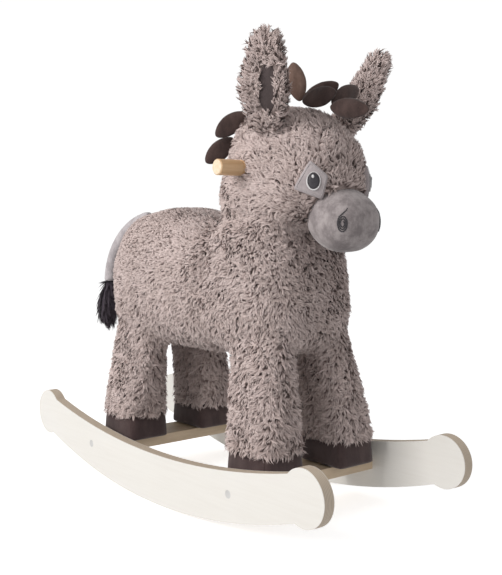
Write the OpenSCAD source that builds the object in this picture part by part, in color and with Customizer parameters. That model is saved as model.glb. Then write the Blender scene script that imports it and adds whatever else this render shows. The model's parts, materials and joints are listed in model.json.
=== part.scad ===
// Plush donkey rocker: a stuffed donkey over a wooden frame, standing on two
// curved plywood rockers that two slats join.
// Millimetres, +Z up. The donkey faces -Y and its right side is at -X. The
// model is mirrored about X = 0, and the origin lies on the floor under the
// middle of the rockers.

/* [Rockers] */
// Width over the outer faces of the two rockers
base_w = 252; // [250:1:260]
// Thickness of the plywood that the rockers are cut from
ply_t = 15; // [14:0.5:16]
// Radius of the rolling edge
roll_r = 918; // [900:1:930]
// Depth of a rocker at its middle
band_h = 67; // [65:1:69]
// Radius of a rocker's upper edge
band_top_r = 1180; // [1150:5:1210]
// Radius of the round ends
knob_r = 34; // [33:0.5:35]
// Distance between the centres of the round ends
knob_span = 593; // [588:1:598]
// Height of the centres of the round ends
knob_z = 76; // [75:0.5:77]

/* [Slats and wooden frame] */
// Distance of each slat's middle from the middle of the rockers
slat_y = 147; // [145:1:149]
// Width of a slat
slat_w = 60; // [58:1:62]
// Thickness of a slat
slat_t = 15; // [15:0.5:16]
// Height of the underside of the slats
slat_z = 42.5; // [42:0.5:43]
// Side of the square leg posts
post_w = 25; // [24:1:26]
// Distance of each post's middle from the mirror plane
post_x = 50; // [50:1:51]
// Distance of each post's middle from the middle of the rockers
post_y = 140; // [139:1:141]
// Height of the underside of the seat board
board_z = 300; // [296:1:304]
// Thickness of the seat board
board_t = 12; // [11:1:13]

/* [Handle] */
// Diameter of the handle dowel
handle_d = 20; // [19:0.5:21]
// Length of the handle dowel
handle_l = 212; // [206:1:218]
// Position of the handle along Y
handle_y = -118; // [-121:1:-115]
// Height of the handle's axis
handle_z = 443; // [441:1:445]

/* [Plush] */
// Width of the stuffed body
body_w = 172; // [168:1:176]
// Height of the belly
belly_z = 200; // [197:1:203]
// Height of the back
back_z = 388; // [385:1:391]
// Height of the fabric hooves
hoof_h = 36; // [34:1:38]
// Diameter of the tail tube
tail_d = 20; // [18:1:21]

/* [Hidden] */
$fn = 48;
fit = 0.2;
seam_gap = 0.4;
hull_fn = 28;
far = 1000;

inner_x = base_w / 2 - ply_t;
slat_top = slat_z + slat_t;
slat_mid_z = slat_z + slat_t / 2;
knob_y = knob_span / 2;

// Rocker joint hardware
bolt_d = 6;
bolt_head_d = 10;
bolt_head_h = 6;
bolt_l = 52;
bolt_off = 16.5;
sink_depth = 8.2;
cap_t = 1.8;
nut_d = 10;
nut_l = 12;
nut_in = 30;
dowel_d = 8;
dowel_l = 30;
dowel_in_ply = 9;
dowel_off = -16.5;

// Wood screws of the inner frame
screw_d = 5;
screw_head_d = 9.6;
screw_head_h = 3;
post_screw_l = 60;
post_screw_gap = 16;
board_screw_l = 50;
neck_screw_l = 60;
neck_screw_gap = 18;

board_w = 120;
board_front = -151;
board_back = 154;
neck_post_w = 40;
neck_post_t = 32;
neck_post_top = 478;
handle_groove_x = 72;
handle_groove_l = 3;
handle_groove_depth = 0.8;
handle_chamfer = 1.5;
handle_screw_l = 30;

// Fabric parts
hoof_x = 62;
hoof_front_y = -157;
hoof_rear_y = 143;
hoof_w = 68;
hoof_l = 86;
hoof_taper = 3;
hoof_r = 13;
leg_w = 70;
leg_l = 94;
leg_r = 24;
leg_top_w = 48;
leg_top_l = 98;
leg_top_x = 48;
leg_top_shift = 21;
leg_split_z = 236;
leg_split_x = 23;
leg_split_front = -86;
leg_split_rear = 84;
torso_front = -38;
neck_split_z = 372;
ear_t = 12;
ear_root_r = 7;
ear_root_w = 34;
ear_root = [62, -158, 488];
ear_fold = 35;
ear_fan_h = 40;
ear_l = 112;
ear_w = 58;
lining_depth = 4;
lining_inset = 9;
petal_t = 3;

// Colours
birch_white = [0.95, 0.94, 0.92];
birch = [0.78, 0.66, 0.52];
beech = [0.85, 0.72, 0.56];
steel = [0.70, 0.70, 0.72];
cap_white = [0.93, 0.93, 0.92];
fur = [0.62, 0.54, 0.52];
suede = [0.29, 0.23, 0.22];
velour = [0.66, 0.62, 0.64];
yarn = [0.20, 0.18, 0.22];

// ---- Helpers ----

// Children once on each side of the mirror plane
module both_sides() {
    for (side = [-1, 1]) scale_side(side) children();
}

module scale_side(side) {
    if (side < 0) mirror([1, 0, 0]) children();
    else children();
}

// A cylinder along X that starts at x and runs away from the mirror plane
module bar_x(d, l, x) {
    translate([x, 0, 0]) rotate([0, 90, 0]) cylinder(d = d, h = l);
}

// Countersunk wood screw: its head's flat face is at z = 0, its point up
module wood_screw(l, slack = 0) {
    cylinder(d1 = screw_head_d + slack, d2 = screw_d + slack, h = screw_head_h);
    cylinder(d = screw_d + slack, h = l + slack);
}

// A box given by its middle along X and Y, its bottom and its sizes
module block(x, y, z, size) {
    translate([x - size[0] / 2, y - size[1] / 2, z]) cube(size);
}

// A rounded form: the hull of balls listed as [x, y, z, radius], each of
// them on both sides of the mirror plane, grown by a distance
module soft_hull(balls, grow = 0) {
    hull() for (ball = balls) for (side = [-1, 1])
        translate([side * ball[0], ball[1], ball[2]])
            sphere(r = ball[3] + grow, $fn = hull_fn);
}

// ---- Rockers and slats ----

// Side outline of a rocker, drawn in (Y, Z)
module rocker_outline() {
    intersection() {
        difference() {
            translate([0, roll_r]) circle(r = roll_r, $fn = 720);
            translate([0, band_h + band_top_r]) circle(r = band_top_r, $fn = 720);
        }
        translate([-knob_y, 0]) square([knob_span, 2 * knob_z]);
    }
    for (end = [-1, 1]) translate([end * knob_y, knob_z]) circle(r = knob_r, $fn = 96);
}

// The places of the bolts and dowels along Y, one value for each slat
module slat_joints(offset) {
    for (end = [-1, 1]) translate([0, end * (slat_y + offset), slat_mid_z]) children();
}

module rocker() {
    difference() {
        translate([inner_x, 0, 0]) rotate([90, 0, 90]) linear_extrude(ply_t) rocker_outline();
        slat_joints(bolt_off) {
            bar_x(bolt_d + 2 * fit, ply_t + 2, inner_x - 1);
            bar_x(bolt_head_d + 2 * fit, sink_depth + 1, base_w / 2 - sink_depth);
        }
        slat_joints(dowel_off) bar_x(dowel_d + fit, dowel_in_ply + 1 + fit, inner_x - 1);
    }
}

module right_rocker() {
    color(birch_white) mirror([1, 0, 0]) rocker();
}

module left_rocker() {
    color(birch_white) rocker();
}

// Slat with its bolt holes, dowel holes, barrel nut holes and screw holes
module slat(end) {
    color(birch) difference() {
        block(0, end * slat_y, slat_z, [2 * inner_x, slat_w, slat_t]);
        both_sides() {
            translate([0, end * (slat_y + bolt_off), slat_mid_z])
                bar_x(bolt_d + 2 * fit, bolt_l, inner_x - bolt_l + 10);
            translate([0, end * (slat_y + dowel_off), slat_mid_z])
                bar_x(dowel_d + fit, dowel_l, inner_x - dowel_l + dowel_in_ply - fit);
            translate([inner_x - nut_in, end * (slat_y + bolt_off), slat_z - 1])
                cylinder(d = nut_d + fit, h = nut_l + 2.5);
        }
        post_screw_places(end) wood_screw(post_screw_l, fit);
    }
}

module front_slat() {
    slat(-1);
}

module rear_slat() {
    slat(1);
}

module rocker_bolts() {
    color(steel) both_sides() slat_joints(bolt_off) difference() {
        union() {
            bar_x(bolt_head_d, bolt_head_h, base_w / 2 - sink_depth);
            bar_x(bolt_d, bolt_l - ply_t + sink_depth, base_w / 2 - bolt_l);
        }
        translate([base_w / 2 - sink_depth + bolt_head_h - 3, 0, 0])
            rotate([0, 90, 0]) cylinder(d = 5, h = 4, $fn = 6);
    }
}

module barrel_nuts() {
    color(steel) both_sides() slat_joints(bolt_off) difference() {
        translate([inner_x - nut_in, 0, -nut_l / 2]) cylinder(d = nut_d, h = nut_l);
        bar_x(bolt_d + fit, 2 * nut_d, inner_x - nut_in - nut_d);
    }
}

module locating_dowels() {
    color(beech) both_sides() slat_joints(dowel_off)
        bar_x(dowel_d, dowel_l - 2 * fit, inner_x + dowel_in_ply - dowel_l + fit);
}

// Dished covers that close the bolt holes
module bolt_caps() {
    dish_r = 18;
    color(cap_white) both_sides() slat_joints(bolt_off) difference() {
        bar_x(bolt_head_d + fit, cap_t, base_w / 2 - cap_t);
        translate([base_w / 2 + dish_r - 0.8, 0, 0]) sphere(r = dish_r, $fn = 96);
    }
}

// ---- Wooden frame inside the plush ----

// The screws that go up through a slat into its two posts
module post_screw_places(end) {
    for (side = [-1, 1]) for (step = [-1, 1])
        translate([side * post_x, end * post_y + step * post_screw_gap / 2, slat_z]) children();
}

// The screws that go down through the seat board into a post
module board_screw_place() {
    translate([0, 0, board_z + board_t]) mirror([0, 0, 1]) children();
}

module leg_post(side, end) {
    color(birch) difference() {
        block(side * post_x, end * post_y, slat_top, [post_w, post_w, board_z - slat_top]);
        post_screw_places(end) wood_screw(post_screw_l, fit);
        translate([side * post_x, end * post_y, 0])
            board_screw_place() wood_screw(board_screw_l, fit);
    }
}

module front_right_post() {
    leg_post(-1, -1);
}

module front_left_post() {
    leg_post(1, -1);
}

module rear_right_post() {
    leg_post(-1, 1);
}

module rear_left_post() {
    leg_post(1, 1);
}

module post_screws() {
    color(steel) for (end = [-1, 1]) post_screw_places(end) wood_screw(post_screw_l);
}

module board_screw_places() {
    for (side = [-1, 1]) for (end = [-1, 1])
        translate([side * post_x, end * post_y, 0]) board_screw_place() children();
}

module neck_screw_places() {
    for (side = [-1, 1])
        translate([side * neck_screw_gap / 2, handle_y, board_z]) children();
}

module seat_board() {
    color(birch) difference() {
        block(0, (board_front + board_back) / 2, board_z,
              [board_w, board_back - board_front, board_t]);
        board_screw_places() wood_screw(board_screw_l, fit);
        neck_screw_places() wood_screw(neck_screw_l, fit);
    }
}

module board_screws() {
    color(steel) board_screw_places() wood_screw(board_screw_l);
}

// The screw that locks the handle comes from behind the neck post
module handle_screw_place() {
    translate([0, handle_y + neck_post_t / 2, handle_z]) rotate([90, 0, 0]) children();
}

module neck_post() {
    post_foot = board_z + board_t;
    color(birch) difference() {
        block(0, handle_y, post_foot, [neck_post_w, neck_post_t, neck_post_top - post_foot]);
        translate([0, handle_y, handle_z]) bar_x(handle_d + 2 * fit, neck_post_w + 2, -neck_post_w / 2 - 1);
        neck_screw_places() wood_screw(neck_screw_l, fit);
        handle_screw_place() wood_screw(handle_screw_l, fit);
    }
}

module neck_screws() {
    color(steel) neck_screw_places() wood_screw(neck_screw_l);
}

// Handle with chamfered ends and a groove on each side, in which the plush
// is tied down round the dowel
module handle_dowel() {
    straight = handle_l / 2 - handle_chamfer;
    color(beech) difference() {
        translate([0, handle_y, handle_z]) {
            bar_x(handle_d, 2 * straight, -straight);
            both_sides() translate([straight, 0, 0]) rotate([0, 90, 0])
                cylinder(d1 = handle_d, d2 = handle_d - 2 * handle_chamfer, h = handle_chamfer);
        }
        translate([0, handle_y, handle_z]) both_sides() difference() {
            bar_x(handle_d + 4, handle_groove_l, handle_groove_x - handle_groove_l);
            bar_x(handle_d - 2 * handle_groove_depth, far, 0);
        }
        handle_screw_place() wood_screw(handle_screw_l, fit);
    }
}

module handle_screw() {
    color(steel) handle_screw_place() wood_screw(handle_screw_l);
}

// ---- Space that the plush leaves for the wooden frame ----

module post_pockets() {
    side_l = post_w + 2 * seam_gap;
    for (side = [-1, 1]) for (end = [-1, 1])
        block(side * post_x, end * post_y, slat_top - 1, [side_l, side_l, board_z - slat_top + 2]);
}

module board_pocket() {
    block(0, (board_front + board_back) / 2, board_z - seam_gap,
          [board_w + 2 * seam_gap, board_back - board_front + 2 * seam_gap, board_t + 2 * seam_gap]);
}

module neck_pocket() {
    block(0, handle_y, board_z + board_t,
          [neck_post_w + 2 * seam_gap, neck_post_t + 2 * seam_gap, neck_post_top + seam_gap - board_z - board_t]);
}

module handle_pocket() {
    translate([0, handle_y, handle_z]) bar_x(handle_d + 2 * seam_gap, 2 * handle_l, -handle_l);
}

module frame_pockets() {
    post_pockets();
    board_pocket();
    neck_pocket();
    handle_pocket();
}

// ---- Hooves and legs ----

function leg_y(end) = end < 0 ? hoof_front_y : hoof_rear_y;
function leg_top_y(end) = end < 0 ? hoof_front_y + leg_top_shift : hoof_rear_y;

// Four upright rounds at the corners of a w by l block, all of one height
module corner_rounds(w, l, r1, r2, h) {
    for (dx = [-1, 1]) for (dy = [-1, 1])
        translate([dx * (w / 2 - r1), dy * (l / 2 - r1), 0])
            cylinder(r1 = r1, r2 = r2, h = h, $fn = hull_fn);
}

module hoof(side, end) {
    color(suede) difference() {
        translate([side * hoof_x, leg_y(end), slat_top + seam_gap])
            hull() corner_rounds(hoof_w, hoof_l, hoof_r, hoof_r - hoof_taper, hoof_h);
        post_pockets();
    }
}

module front_right_hoof() {
    hoof(-1, -1);
}

module front_left_hoof() {
    hoof(1, -1);
}

module rear_right_hoof() {
    hoof(-1, 1);
}

module rear_left_hoof() {
    hoof(1, 1);
}

// Furry leg from the hoof up to the flank, slimmer at its top
module plush_leg(side, end) {
    foot_z = slat_top + hoof_h + 2 * seam_gap;
    color(fur) difference() {
        hull() {
            translate([side * hoof_x, leg_y(end), foot_z])
                corner_rounds(leg_w, leg_l, leg_r, leg_r, 12);
            translate([side * leg_top_x, leg_top_y(end), leg_split_z - 10])
                corner_rounds(leg_top_w, leg_top_l, leg_r, leg_r, 10);
        }
        post_pockets();
    }
}

module front_right_leg() {
    plush_leg(-1, -1);
}

module front_left_leg() {
    plush_leg(1, -1);
}

module rear_right_leg() {
    plush_leg(-1, 1);
}

module rear_left_leg() {
    plush_leg(1, 1);
}

// The four corners under the body where the legs are sewn on
module leg_corners() {
    top = leg_split_z + seam_gap;
    both_sides() {
        translate([leg_split_x, leg_split_rear, 0]) cube([far, far, top]);
        translate([leg_split_x, leg_split_front - far, 0]) cube([far, far, top]);
    }
}

// ---- Body, neck, head and muzzle ----

half_w = body_w / 2;

// The balls whose hull is each stuffed form: [x, y, z, radius]
torso_balls = [
    [half_w - 56, -72, belly_z + 56, 56],
    [half_w - 53, 146, belly_z + 53, 53],
    [half_w - 61, -66, back_z - 84, 61],
    [half_w - 65, 84, back_z + 13 - 65, 65],
    [half_w - 67, 136, back_z + 6 - 67, 67],
    [11, 157, 303, 70]
];

neck_balls = [
    [28, -140, 262, 56],
    [half_w - 56, -70, belly_z + 56, 56],
    [half_w - 60, -80, back_z - 85, 58],
    [22, -130, 330, 60],
    [14, -112, 406, 60],
    [14, -100, 400, 61]
];

head_balls = [
    [11, -99, 408, 61],
    [4, -112, 464, 60],
    [10, -156, 462, 57],
    [10, -190, 446, 50],
    [18, -178, 410, 52],
    [6, -210, 411, 39],
    [9, -150, 374, 52]
];

muzzle_balls = [
    [7, -234, 376, 37],
    [5, -226, 380, 38]
];

module torso_plush() {
    color(fur) difference() {
        soft_hull(torso_balls);
        translate([-far / 2, torso_front - far, 0]) cube(far);
        leg_corners();
        frame_pockets();
    }
}

module neck_plush() {
    color(fur) difference() {
        soft_hull(neck_balls);
        translate([-far / 2, torso_front - seam_gap, 0]) cube(far);
        translate([-far / 2, -far / 2, neck_split_z]) cube(far);
        leg_corners();
        frame_pockets();
        soft_hull(muzzle_balls, seam_gap);
    }
}

module head_plush() {
    color(fur) difference() {
        soft_hull(head_balls);
        translate([-far / 2, -far / 2, neck_split_z + seam_gap - far]) cube(far);
        soft_hull(muzzle_balls, seam_gap);
        frame_pockets();
        for (side = [-1, 1]) scale_side(side) ear_place(side) ear_clearance();
    }
}

module muzzle() {
    color(velour) soft_hull(muzzle_balls);
}

// ---- Ears ----

// How far each ear leans: out to its side, then to the front
function ear_lean(side) = side < 0 ? [11, 14] : [22, 20];

// How far each ear's hollow is turned outwards
function ear_twist(side) = side < 0 ? 66 : 84;

// From an ear's own frame, in which its root lies on X and its tip is up
module ear_place(side) {
    translate(ear_root) rotate([ear_lean(side)[1], ear_lean(side)[0], 0])
        rotate([0, 0, ear_twist(side)]) children();
}

// Leaf outline of an ear, drawn in (X, Z)
module ear_outline(inset) {
    hull() {
        translate([0, 24]) circle(d = ear_root_w + 6 - 2 * inset);
        translate([0, 52]) circle(d = ear_w - 2 * inset);
        translate([0, ear_l - 15]) circle(d = 36 - 1.4 * inset);
    }
}

// A slice of the ear's leaf from y to y + t
module ear_blade(inset, y, t) {
    translate([0, y + t, 0]) rotate([90, 0, 0]) linear_extrude(t) ear_outline(inset);
}

module ear_root_bar(r, l) {
    translate([-l / 2, 0, 0]) rotate([0, 90, 0]) cylinder(r = r, h = l);
}

module ear(side) {
    color(fur) scale_side(side) ear_place(side) difference() {
        union() {
            ear_blade(0, -ear_t / 2, ear_t);
            ear_root_bar(ear_root_r, ear_root_w);
            block(0, 0, 0, [ear_root_w, ear_t, 30]);
        }
        ear_blade(lining_inset, -ear_t / 2 - 1, lining_depth + 1);
    }
}

// Room for an ear's root over its whole travel: its round bar and the fan its blade sweeps
module ear_clearance() {
    w = ear_root_w + 4;
    slack = (ear_t / 2 + 1) / cos(ear_fold + 2);
    spread = slack + ear_fan_h * tan(ear_fold + 2);
    ear_root_bar(ear_root_r + 1, w);
    translate([-w / 2, 0, 0]) rotate([90, 0, 90]) linear_extrude(w)
        polygon([[-slack, 0], [slack, 0], [spread, ear_fan_h], [-spread, ear_fan_h]]);
}

module right_ear() {
    ear(-1);
}

module left_ear() {
    ear(1);
}

module ear_lining(side) {
    color(suede) scale_side(side) ear_place(side)
        ear_blade(lining_inset + fit, -ear_t / 2, lining_depth - seam_gap);
}

module right_ear_lining() {
    ear_lining(-1);
}

module left_ear_lining() {
    ear_lining(1);
}

// ---- Mane ----

// One pointed suede petal that starts at the origin and points along +Z,
// flat in Y: the overlap of two circles whose centres lie on X
module petal(l, w) {
    reach = (l * l - w * w) / (4 * w);
    translate([0, petal_t / 2, 0]) rotate([90, 0, 0]) linear_extrude(petal_t) intersection() {
        translate([reach, l / 2]) circle(r = reach + w / 2, $fn = 96);
        translate([-reach, l / 2]) circle(r = reach + w / 2, $fn = 96);
    }
}

// Turns +Z to a direction and keeps Y level
module point_along(reach) {
    rotate([0, acos(reach[2] / norm(reach)), atan2(reach[1], reach[0])]) children();
}

// The petals of the neck flop to the two sides in turn: [root, reach]
mane = [
    [[-12, -58, 520], [-24, 20, -24]],
    [[-13, -34, 488], [-27, 21, -30]],
    [[-10, -34, 444], [-9, 6, -33]],
    [[10, -60, 513], [23, 17, -27]],
    [[9, -44, 484], [22, 16, -33]],
    [[10, -34, 440], [12, 8, -30]]
];

module mane_petals() {
    color(suede) for (place = mane) translate(place[0]) point_along(place[1]) petal(48, 26);
}

// The petals of the poll fan out over the forehead: [root, reach]
forelock = [
    [[-1, -158, 525], [34, -28, 22]],
    [[3, -206, 520], [37, -4, 17]],
    [[-10, -168, 524], [12, -40, 7]],
    [[-5, -212, 514], [12, -38, -5]],
    [[6, -146, 528], [-6, 5, 42]],
    [[1, -112, 530], [30, 14, 26]]
];

module forelock_petals() {
    color(suede) for (place = forelock) translate(place[0]) point_along(place[1]) petal(48, 24);
}

// ---- Eyes and nostrils ----

// A layer on a ball of its own, which follows the stuffed face there. Its
// spot is [x, y, z], it looks along -Y turned to the side by an angle, and it
// lies between two heights over the ball that passes through the spot.
module face_layer(spot, turn, ball_r, low, high) {
    translate(spot) rotate([0, 0, turn]) rotate([90, 0, 0]) difference() {
        intersection() {
            translate([0, 0, -ball_r]) sphere(r = ball_r + high, $fn = 96);
            translate([0, 0, -ball_r / 2]) linear_extrude(ball_r) children();
        }
        translate([0, 0, -ball_r]) sphere(r = ball_r + low, $fn = 96);
    }
}

eye_spot = [49.5, -230.5, 424];
eye_turn = 47;
eye_ball_r = 62;
nostril_spot = [33.5, -262.5, 375];
nostril_turn = 46;
nostril_ball_r = 44;

module eye_outline(grow) {
    scale([1, 1.35]) circle(d = 15 + 2 * grow);
}

module patch_outline() {
    difference() {
        polygon([[3, 28], [-17, 2], [-6, -27], [21, -8]]);
        eye_outline(0.4);
    }
}

module eye_patch(side) {
    color(velour) scale_side(side)
        face_layer(eye_spot, eye_turn, eye_ball_r, 0, 1.6) patch_outline();
}

module right_eye_patch() {
    eye_patch(-1);
}

module left_eye_patch() {
    eye_patch(1);
}

module eye(side) {
    color(yarn) scale_side(side)
        face_layer(eye_spot, eye_turn, eye_ball_r, 0, 2.2) eye_outline(0);
}

module right_eye() {
    eye(-1);
}

module left_eye() {
    eye(1);
}

module nostril(side) {
    color(yarn) scale_side(side)
        face_layer(nostril_spot, nostril_turn, nostril_ball_r, 0, 1)
            scale([0.5, 1]) circle(d = 18);
}

module right_nostril() {
    nostril(-1);
}

module left_nostril() {
    nostril(1);
}

// ---- Tail ----

// The tube is an arc in an upright plane that is turned a little to the right
tail_root = [0, 192, 382];
tail_turn = 12;
tail_arc_r = 108;
tail_from = 82;
tail_to = 2;
tuft_d = 40;
tuft_neck_d = 14;
tuft_gap = 8;
tuft_reach = [7, 0, -78];

// Puts the tail's arc, centred on the origin in (X, Z), where it belongs
module tail_place() {
    translate(tail_root) rotate([0, 0, 90 + tail_turn])
        translate([-tail_arc_r * cos(tail_from), 0, -tail_arc_r * sin(tail_from)]) children();
}

module tail_tube() {
    color(velour) tail_place() rotate([90, 0, 0]) rotate([0, 0, tail_to])
        rotate_extrude(angle = tail_from - tail_to) translate([tail_arc_r, 0]) circle(d = tail_d);
}

// Loose tuft that hangs under the tube's end, widest below its middle
module tail_tuft() {
    neck = [tail_arc_r * cos(tail_to), 0, tail_arc_r * sin(tail_to) - tuft_gap];
    color(yarn) tail_place() translate(neck) point_along(tuft_reach) rotate_extrude()
        polygon([
            [0, -tuft_neck_d / 2],
            [tuft_neck_d / 2, 0],
            [tuft_d / 2, 34],
            [4, norm(tuft_reach)],
            [0, norm(tuft_reach)]
        ]);
}

right_rocker();
left_rocker();
front_slat();
rear_slat();
rocker_bolts();
barrel_nuts();
locating_dowels();
bolt_caps();
front_right_post();
front_left_post();
rear_right_post();
rear_left_post();
post_screws();
seat_board();
board_screws();
neck_post();
neck_screws();
handle_dowel();
handle_screw();
front_right_hoof();
front_left_hoof();
rear_right_hoof();
rear_left_hoof();
front_right_leg();
front_left_leg();
rear_right_leg();
rear_left_leg();
torso_plush();
neck_plush();
head_plush();
muzzle();
right_ear();
left_ear();
right_ear_lining();
left_ear_lining();
mane_petals();
forelock_petals();
right_eye_patch();
left_eye_patch();
right_eye();
left_eye();
right_nostril();
left_nostril();
tail_tube();
tail_tuft();
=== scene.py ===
"""A plush donkey on wooden rockers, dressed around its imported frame.

The wooden parts are the frame's own nodes with better finishes. The stuffed parts are new pieces: a stuffed
pelt with mesh fur on it, velour, suede and embroidery. Lengths are in metres; the donkey faces -Y.
"""

import json
import logging
import math
from dataclasses import dataclass, field
from enum import Enum
from functools import partial
from typing import Callable, Iterable, Optional, Sequence, Union

import bpy
import numpy as np
from mathutils import Matrix, Vector

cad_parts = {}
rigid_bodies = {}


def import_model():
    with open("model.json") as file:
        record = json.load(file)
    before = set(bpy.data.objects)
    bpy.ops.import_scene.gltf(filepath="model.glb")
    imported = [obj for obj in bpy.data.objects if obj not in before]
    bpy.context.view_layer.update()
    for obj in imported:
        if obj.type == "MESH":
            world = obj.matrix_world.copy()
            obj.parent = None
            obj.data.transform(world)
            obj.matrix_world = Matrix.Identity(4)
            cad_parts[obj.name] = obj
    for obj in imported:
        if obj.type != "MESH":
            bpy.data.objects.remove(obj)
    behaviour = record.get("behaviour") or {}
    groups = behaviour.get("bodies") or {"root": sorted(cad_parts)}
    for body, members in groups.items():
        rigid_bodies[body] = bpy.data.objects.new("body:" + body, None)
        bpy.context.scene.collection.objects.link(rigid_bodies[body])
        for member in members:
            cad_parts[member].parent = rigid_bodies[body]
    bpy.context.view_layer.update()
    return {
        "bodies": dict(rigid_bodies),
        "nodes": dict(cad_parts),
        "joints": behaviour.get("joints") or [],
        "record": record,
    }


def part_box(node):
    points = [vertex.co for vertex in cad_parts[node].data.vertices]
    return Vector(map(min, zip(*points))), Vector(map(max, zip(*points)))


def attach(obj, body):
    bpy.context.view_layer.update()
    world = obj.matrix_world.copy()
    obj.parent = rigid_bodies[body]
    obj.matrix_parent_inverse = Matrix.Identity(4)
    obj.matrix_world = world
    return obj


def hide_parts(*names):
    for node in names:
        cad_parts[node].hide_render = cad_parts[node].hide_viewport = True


log = logging.getLogger("donkey")
Array = np.ndarray
Colour = tuple[float, float, float]


class Side(Enum):
    """The donkey's own two sides, as the sign of X."""

    RIGHT = -1
    LEFT = 1

    @property
    def word(self) -> str:
        """The side as piece names write it."""
        return self.name.lower()


class Body(Enum):
    """The bodies that the joints move."""

    DONKEY = "donkey"
    TAIL = "tail"
    TUFT = "tuft"
    RIGHT_EAR = "right_ear_body"
    LEFT_EAR = "left_ear_body"


# ---------------------------------------------------------------------------------------------------------
# Small tools for meshes


def mm(*values: float) -> Vector:
    """Returns a point or reach given in millimetres, in metres."""
    return Vector(values) / 1000


def added(name: str, data: bpy.types.ID) -> bpy.types.Object:
    """Adds a new object to the scene.

    Args:
        name: Its name.
        data: Its mesh, camera or lamp data.

    Returns:
        The new object.
    """
    obj = bpy.data.objects.new(name, data)
    bpy.context.scene.collection.objects.link(obj)
    return obj


def deselect() -> None:
    """Leaves edit mode and deselects every object."""
    if bpy.context.object and bpy.context.object.mode != "OBJECT":
        bpy.ops.object.mode_set(mode="OBJECT")
    bpy.ops.object.select_all(action="DESELECT")


def pick(obj: bpy.types.Object) -> bpy.types.Object:
    """Selects one object only and makes it active.

    Args:
        obj: The object to pick.

    Returns:
        The same object.
    """
    deselect()
    obj.select_set(True)
    bpy.context.view_layer.objects.active = obj
    return obj


def finish_with(obj: bpy.types.Object, kind: str, **settings: object) -> None:
    """Adds a modifier to a piece and applies it.

    Args:
        obj: The piece.
        kind: The modifier's type.
        settings: The modifier's own settings.
    """
    pick(obj)
    modifier = obj.modifiers.new(kind.title(), kind)
    for key, value in settings.items():
        setattr(modifier, key, value)
    bpy.ops.object.modifier_apply(modifier=modifier.name)


def edit_all(obj: bpy.types.Object, *steps: Callable[[], object]) -> None:
    """Runs mesh operators on the whole of a piece.

    Args:
        obj: The piece.
        steps: The operators, in order.
    """
    pick(obj)
    bpy.ops.object.mode_set(mode="EDIT")
    bpy.ops.mesh.select_all(action="SELECT")
    for step in steps:
        step()
    bpy.ops.object.mode_set(mode="OBJECT")


def points_of(obj: bpy.types.Object) -> Array:
    """Returns a mesh's points as an (n, 3) array."""
    flat = np.empty(len(obj.data.vertices) * 3)
    obj.data.vertices.foreach_get("co", flat)
    return flat.reshape(-1, 3)


def move_points(obj: bpy.types.Object, points: Array) -> None:
    """Puts a mesh's points in new places.

    Args:
        obj: The piece.
        points: Its points, as an (n, 3) array.
    """
    obj.data.vertices.foreach_set("co", points.astype(np.float32).ravel())
    obj.data.update()


def moved(points: Array, matrix: Matrix) -> Array:
    """Moves points by a matrix.

    Args:
        points: The points.
        matrix: The matrix.

    Returns:
        The moved points.
    """
    table = np.array(matrix)
    return points @ table[:3, :3].T + table[:3, 3]


def looking(way: Vector) -> Matrix:
    """Returns the turn of a camera or lamp that looks one way, with its top up."""
    return way.to_track_quat("-Z", "Y").to_matrix().to_4x4()


def settle(obj: bpy.types.Object, name: str) -> bpy.types.Object:
    """Names a piece, puts its place in its mesh and smooths it.

    Args:
        obj: The piece.
        name: The name to give it.

    Returns:
        The same piece.
    """
    pick(obj)
    bpy.ops.object.transform_apply(location=True, rotation=True, scale=True)
    obj.name = obj.data.name = name
    bpy.ops.object.shade_smooth()
    return obj


def outward(obj: bpy.types.Object) -> bpy.types.Object:
    """Merges a piece's doubled points and turns its faces outwards.

    Args:
        obj: The piece.

    Returns:
        The same piece.
    """
    merge = partial(bpy.ops.mesh.remove_doubles, threshold=1e-5)
    edit_all(obj, merge, partial(bpy.ops.mesh.normals_make_consistent, inside=False))
    if volume_of(obj) < 0:
        edit_all(obj, bpy.ops.mesh.flip_normals)
    return obj


def triangles_of(obj: bpy.types.Object) -> Array:
    """Returns the point numbers of a mesh's triangles as an (n, 3) array."""
    mesh = obj.data
    mesh.calc_loop_triangles()
    corners = np.empty(len(mesh.loop_triangles) * 3, np.int32)
    mesh.loop_triangles.foreach_get("vertices", corners)
    return corners.reshape(-1, 3)


def volume_of(obj: bpy.types.Object) -> float:
    """Returns a closed piece's volume, which is negative when its faces look inwards."""
    points = points_of(obj)
    a, b, c = (points[corner] for corner in triangles_of(obj).T)
    return float(np.sum(a * np.cross(b, c))) / 6


def raw_mesh(name: str, points: Array, faces: Sequence[Sequence[int]] = ()) -> bpy.types.Object:
    """Makes a mesh object from points and faces.

    Args:
        name: The piece's name.
        points: Its points.
        faces: Its faces, as lists of point numbers.

    Returns:
        The new object.
    """
    mesh = bpy.data.meshes.new(name)
    mesh.from_pydata([tuple(p) for p in points], [], [tuple(f) for f in faces])
    return added(name, mesh)


def copy_node(frame: dict, node: str) -> bpy.types.Object:
    """Copies a frame node's mesh, with its loose triangles merged.

    Args:
        node: The node's name.

    Returns:
        A new object of its own.
    """
    mesh = frame["nodes"][node].data
    faces = [tuple(p.vertices) for p in mesh.polygons]
    return outward(raw_mesh(node + "_copy", points_of(frame["nodes"][node]), faces))


def hull_node(frame: dict, node: str) -> bpy.types.Object:
    """Wraps a frame node in its convex hull, which closes the pockets for the wooden frame.

    Args:
        node: The node's name.

    Returns:
        A new object of its own.
    """
    obj = raw_mesh(node + "_hull", points_of(frame["nodes"][node]))
    edit_all(obj, bpy.ops.mesh.convex_hull)
    return obj


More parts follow.
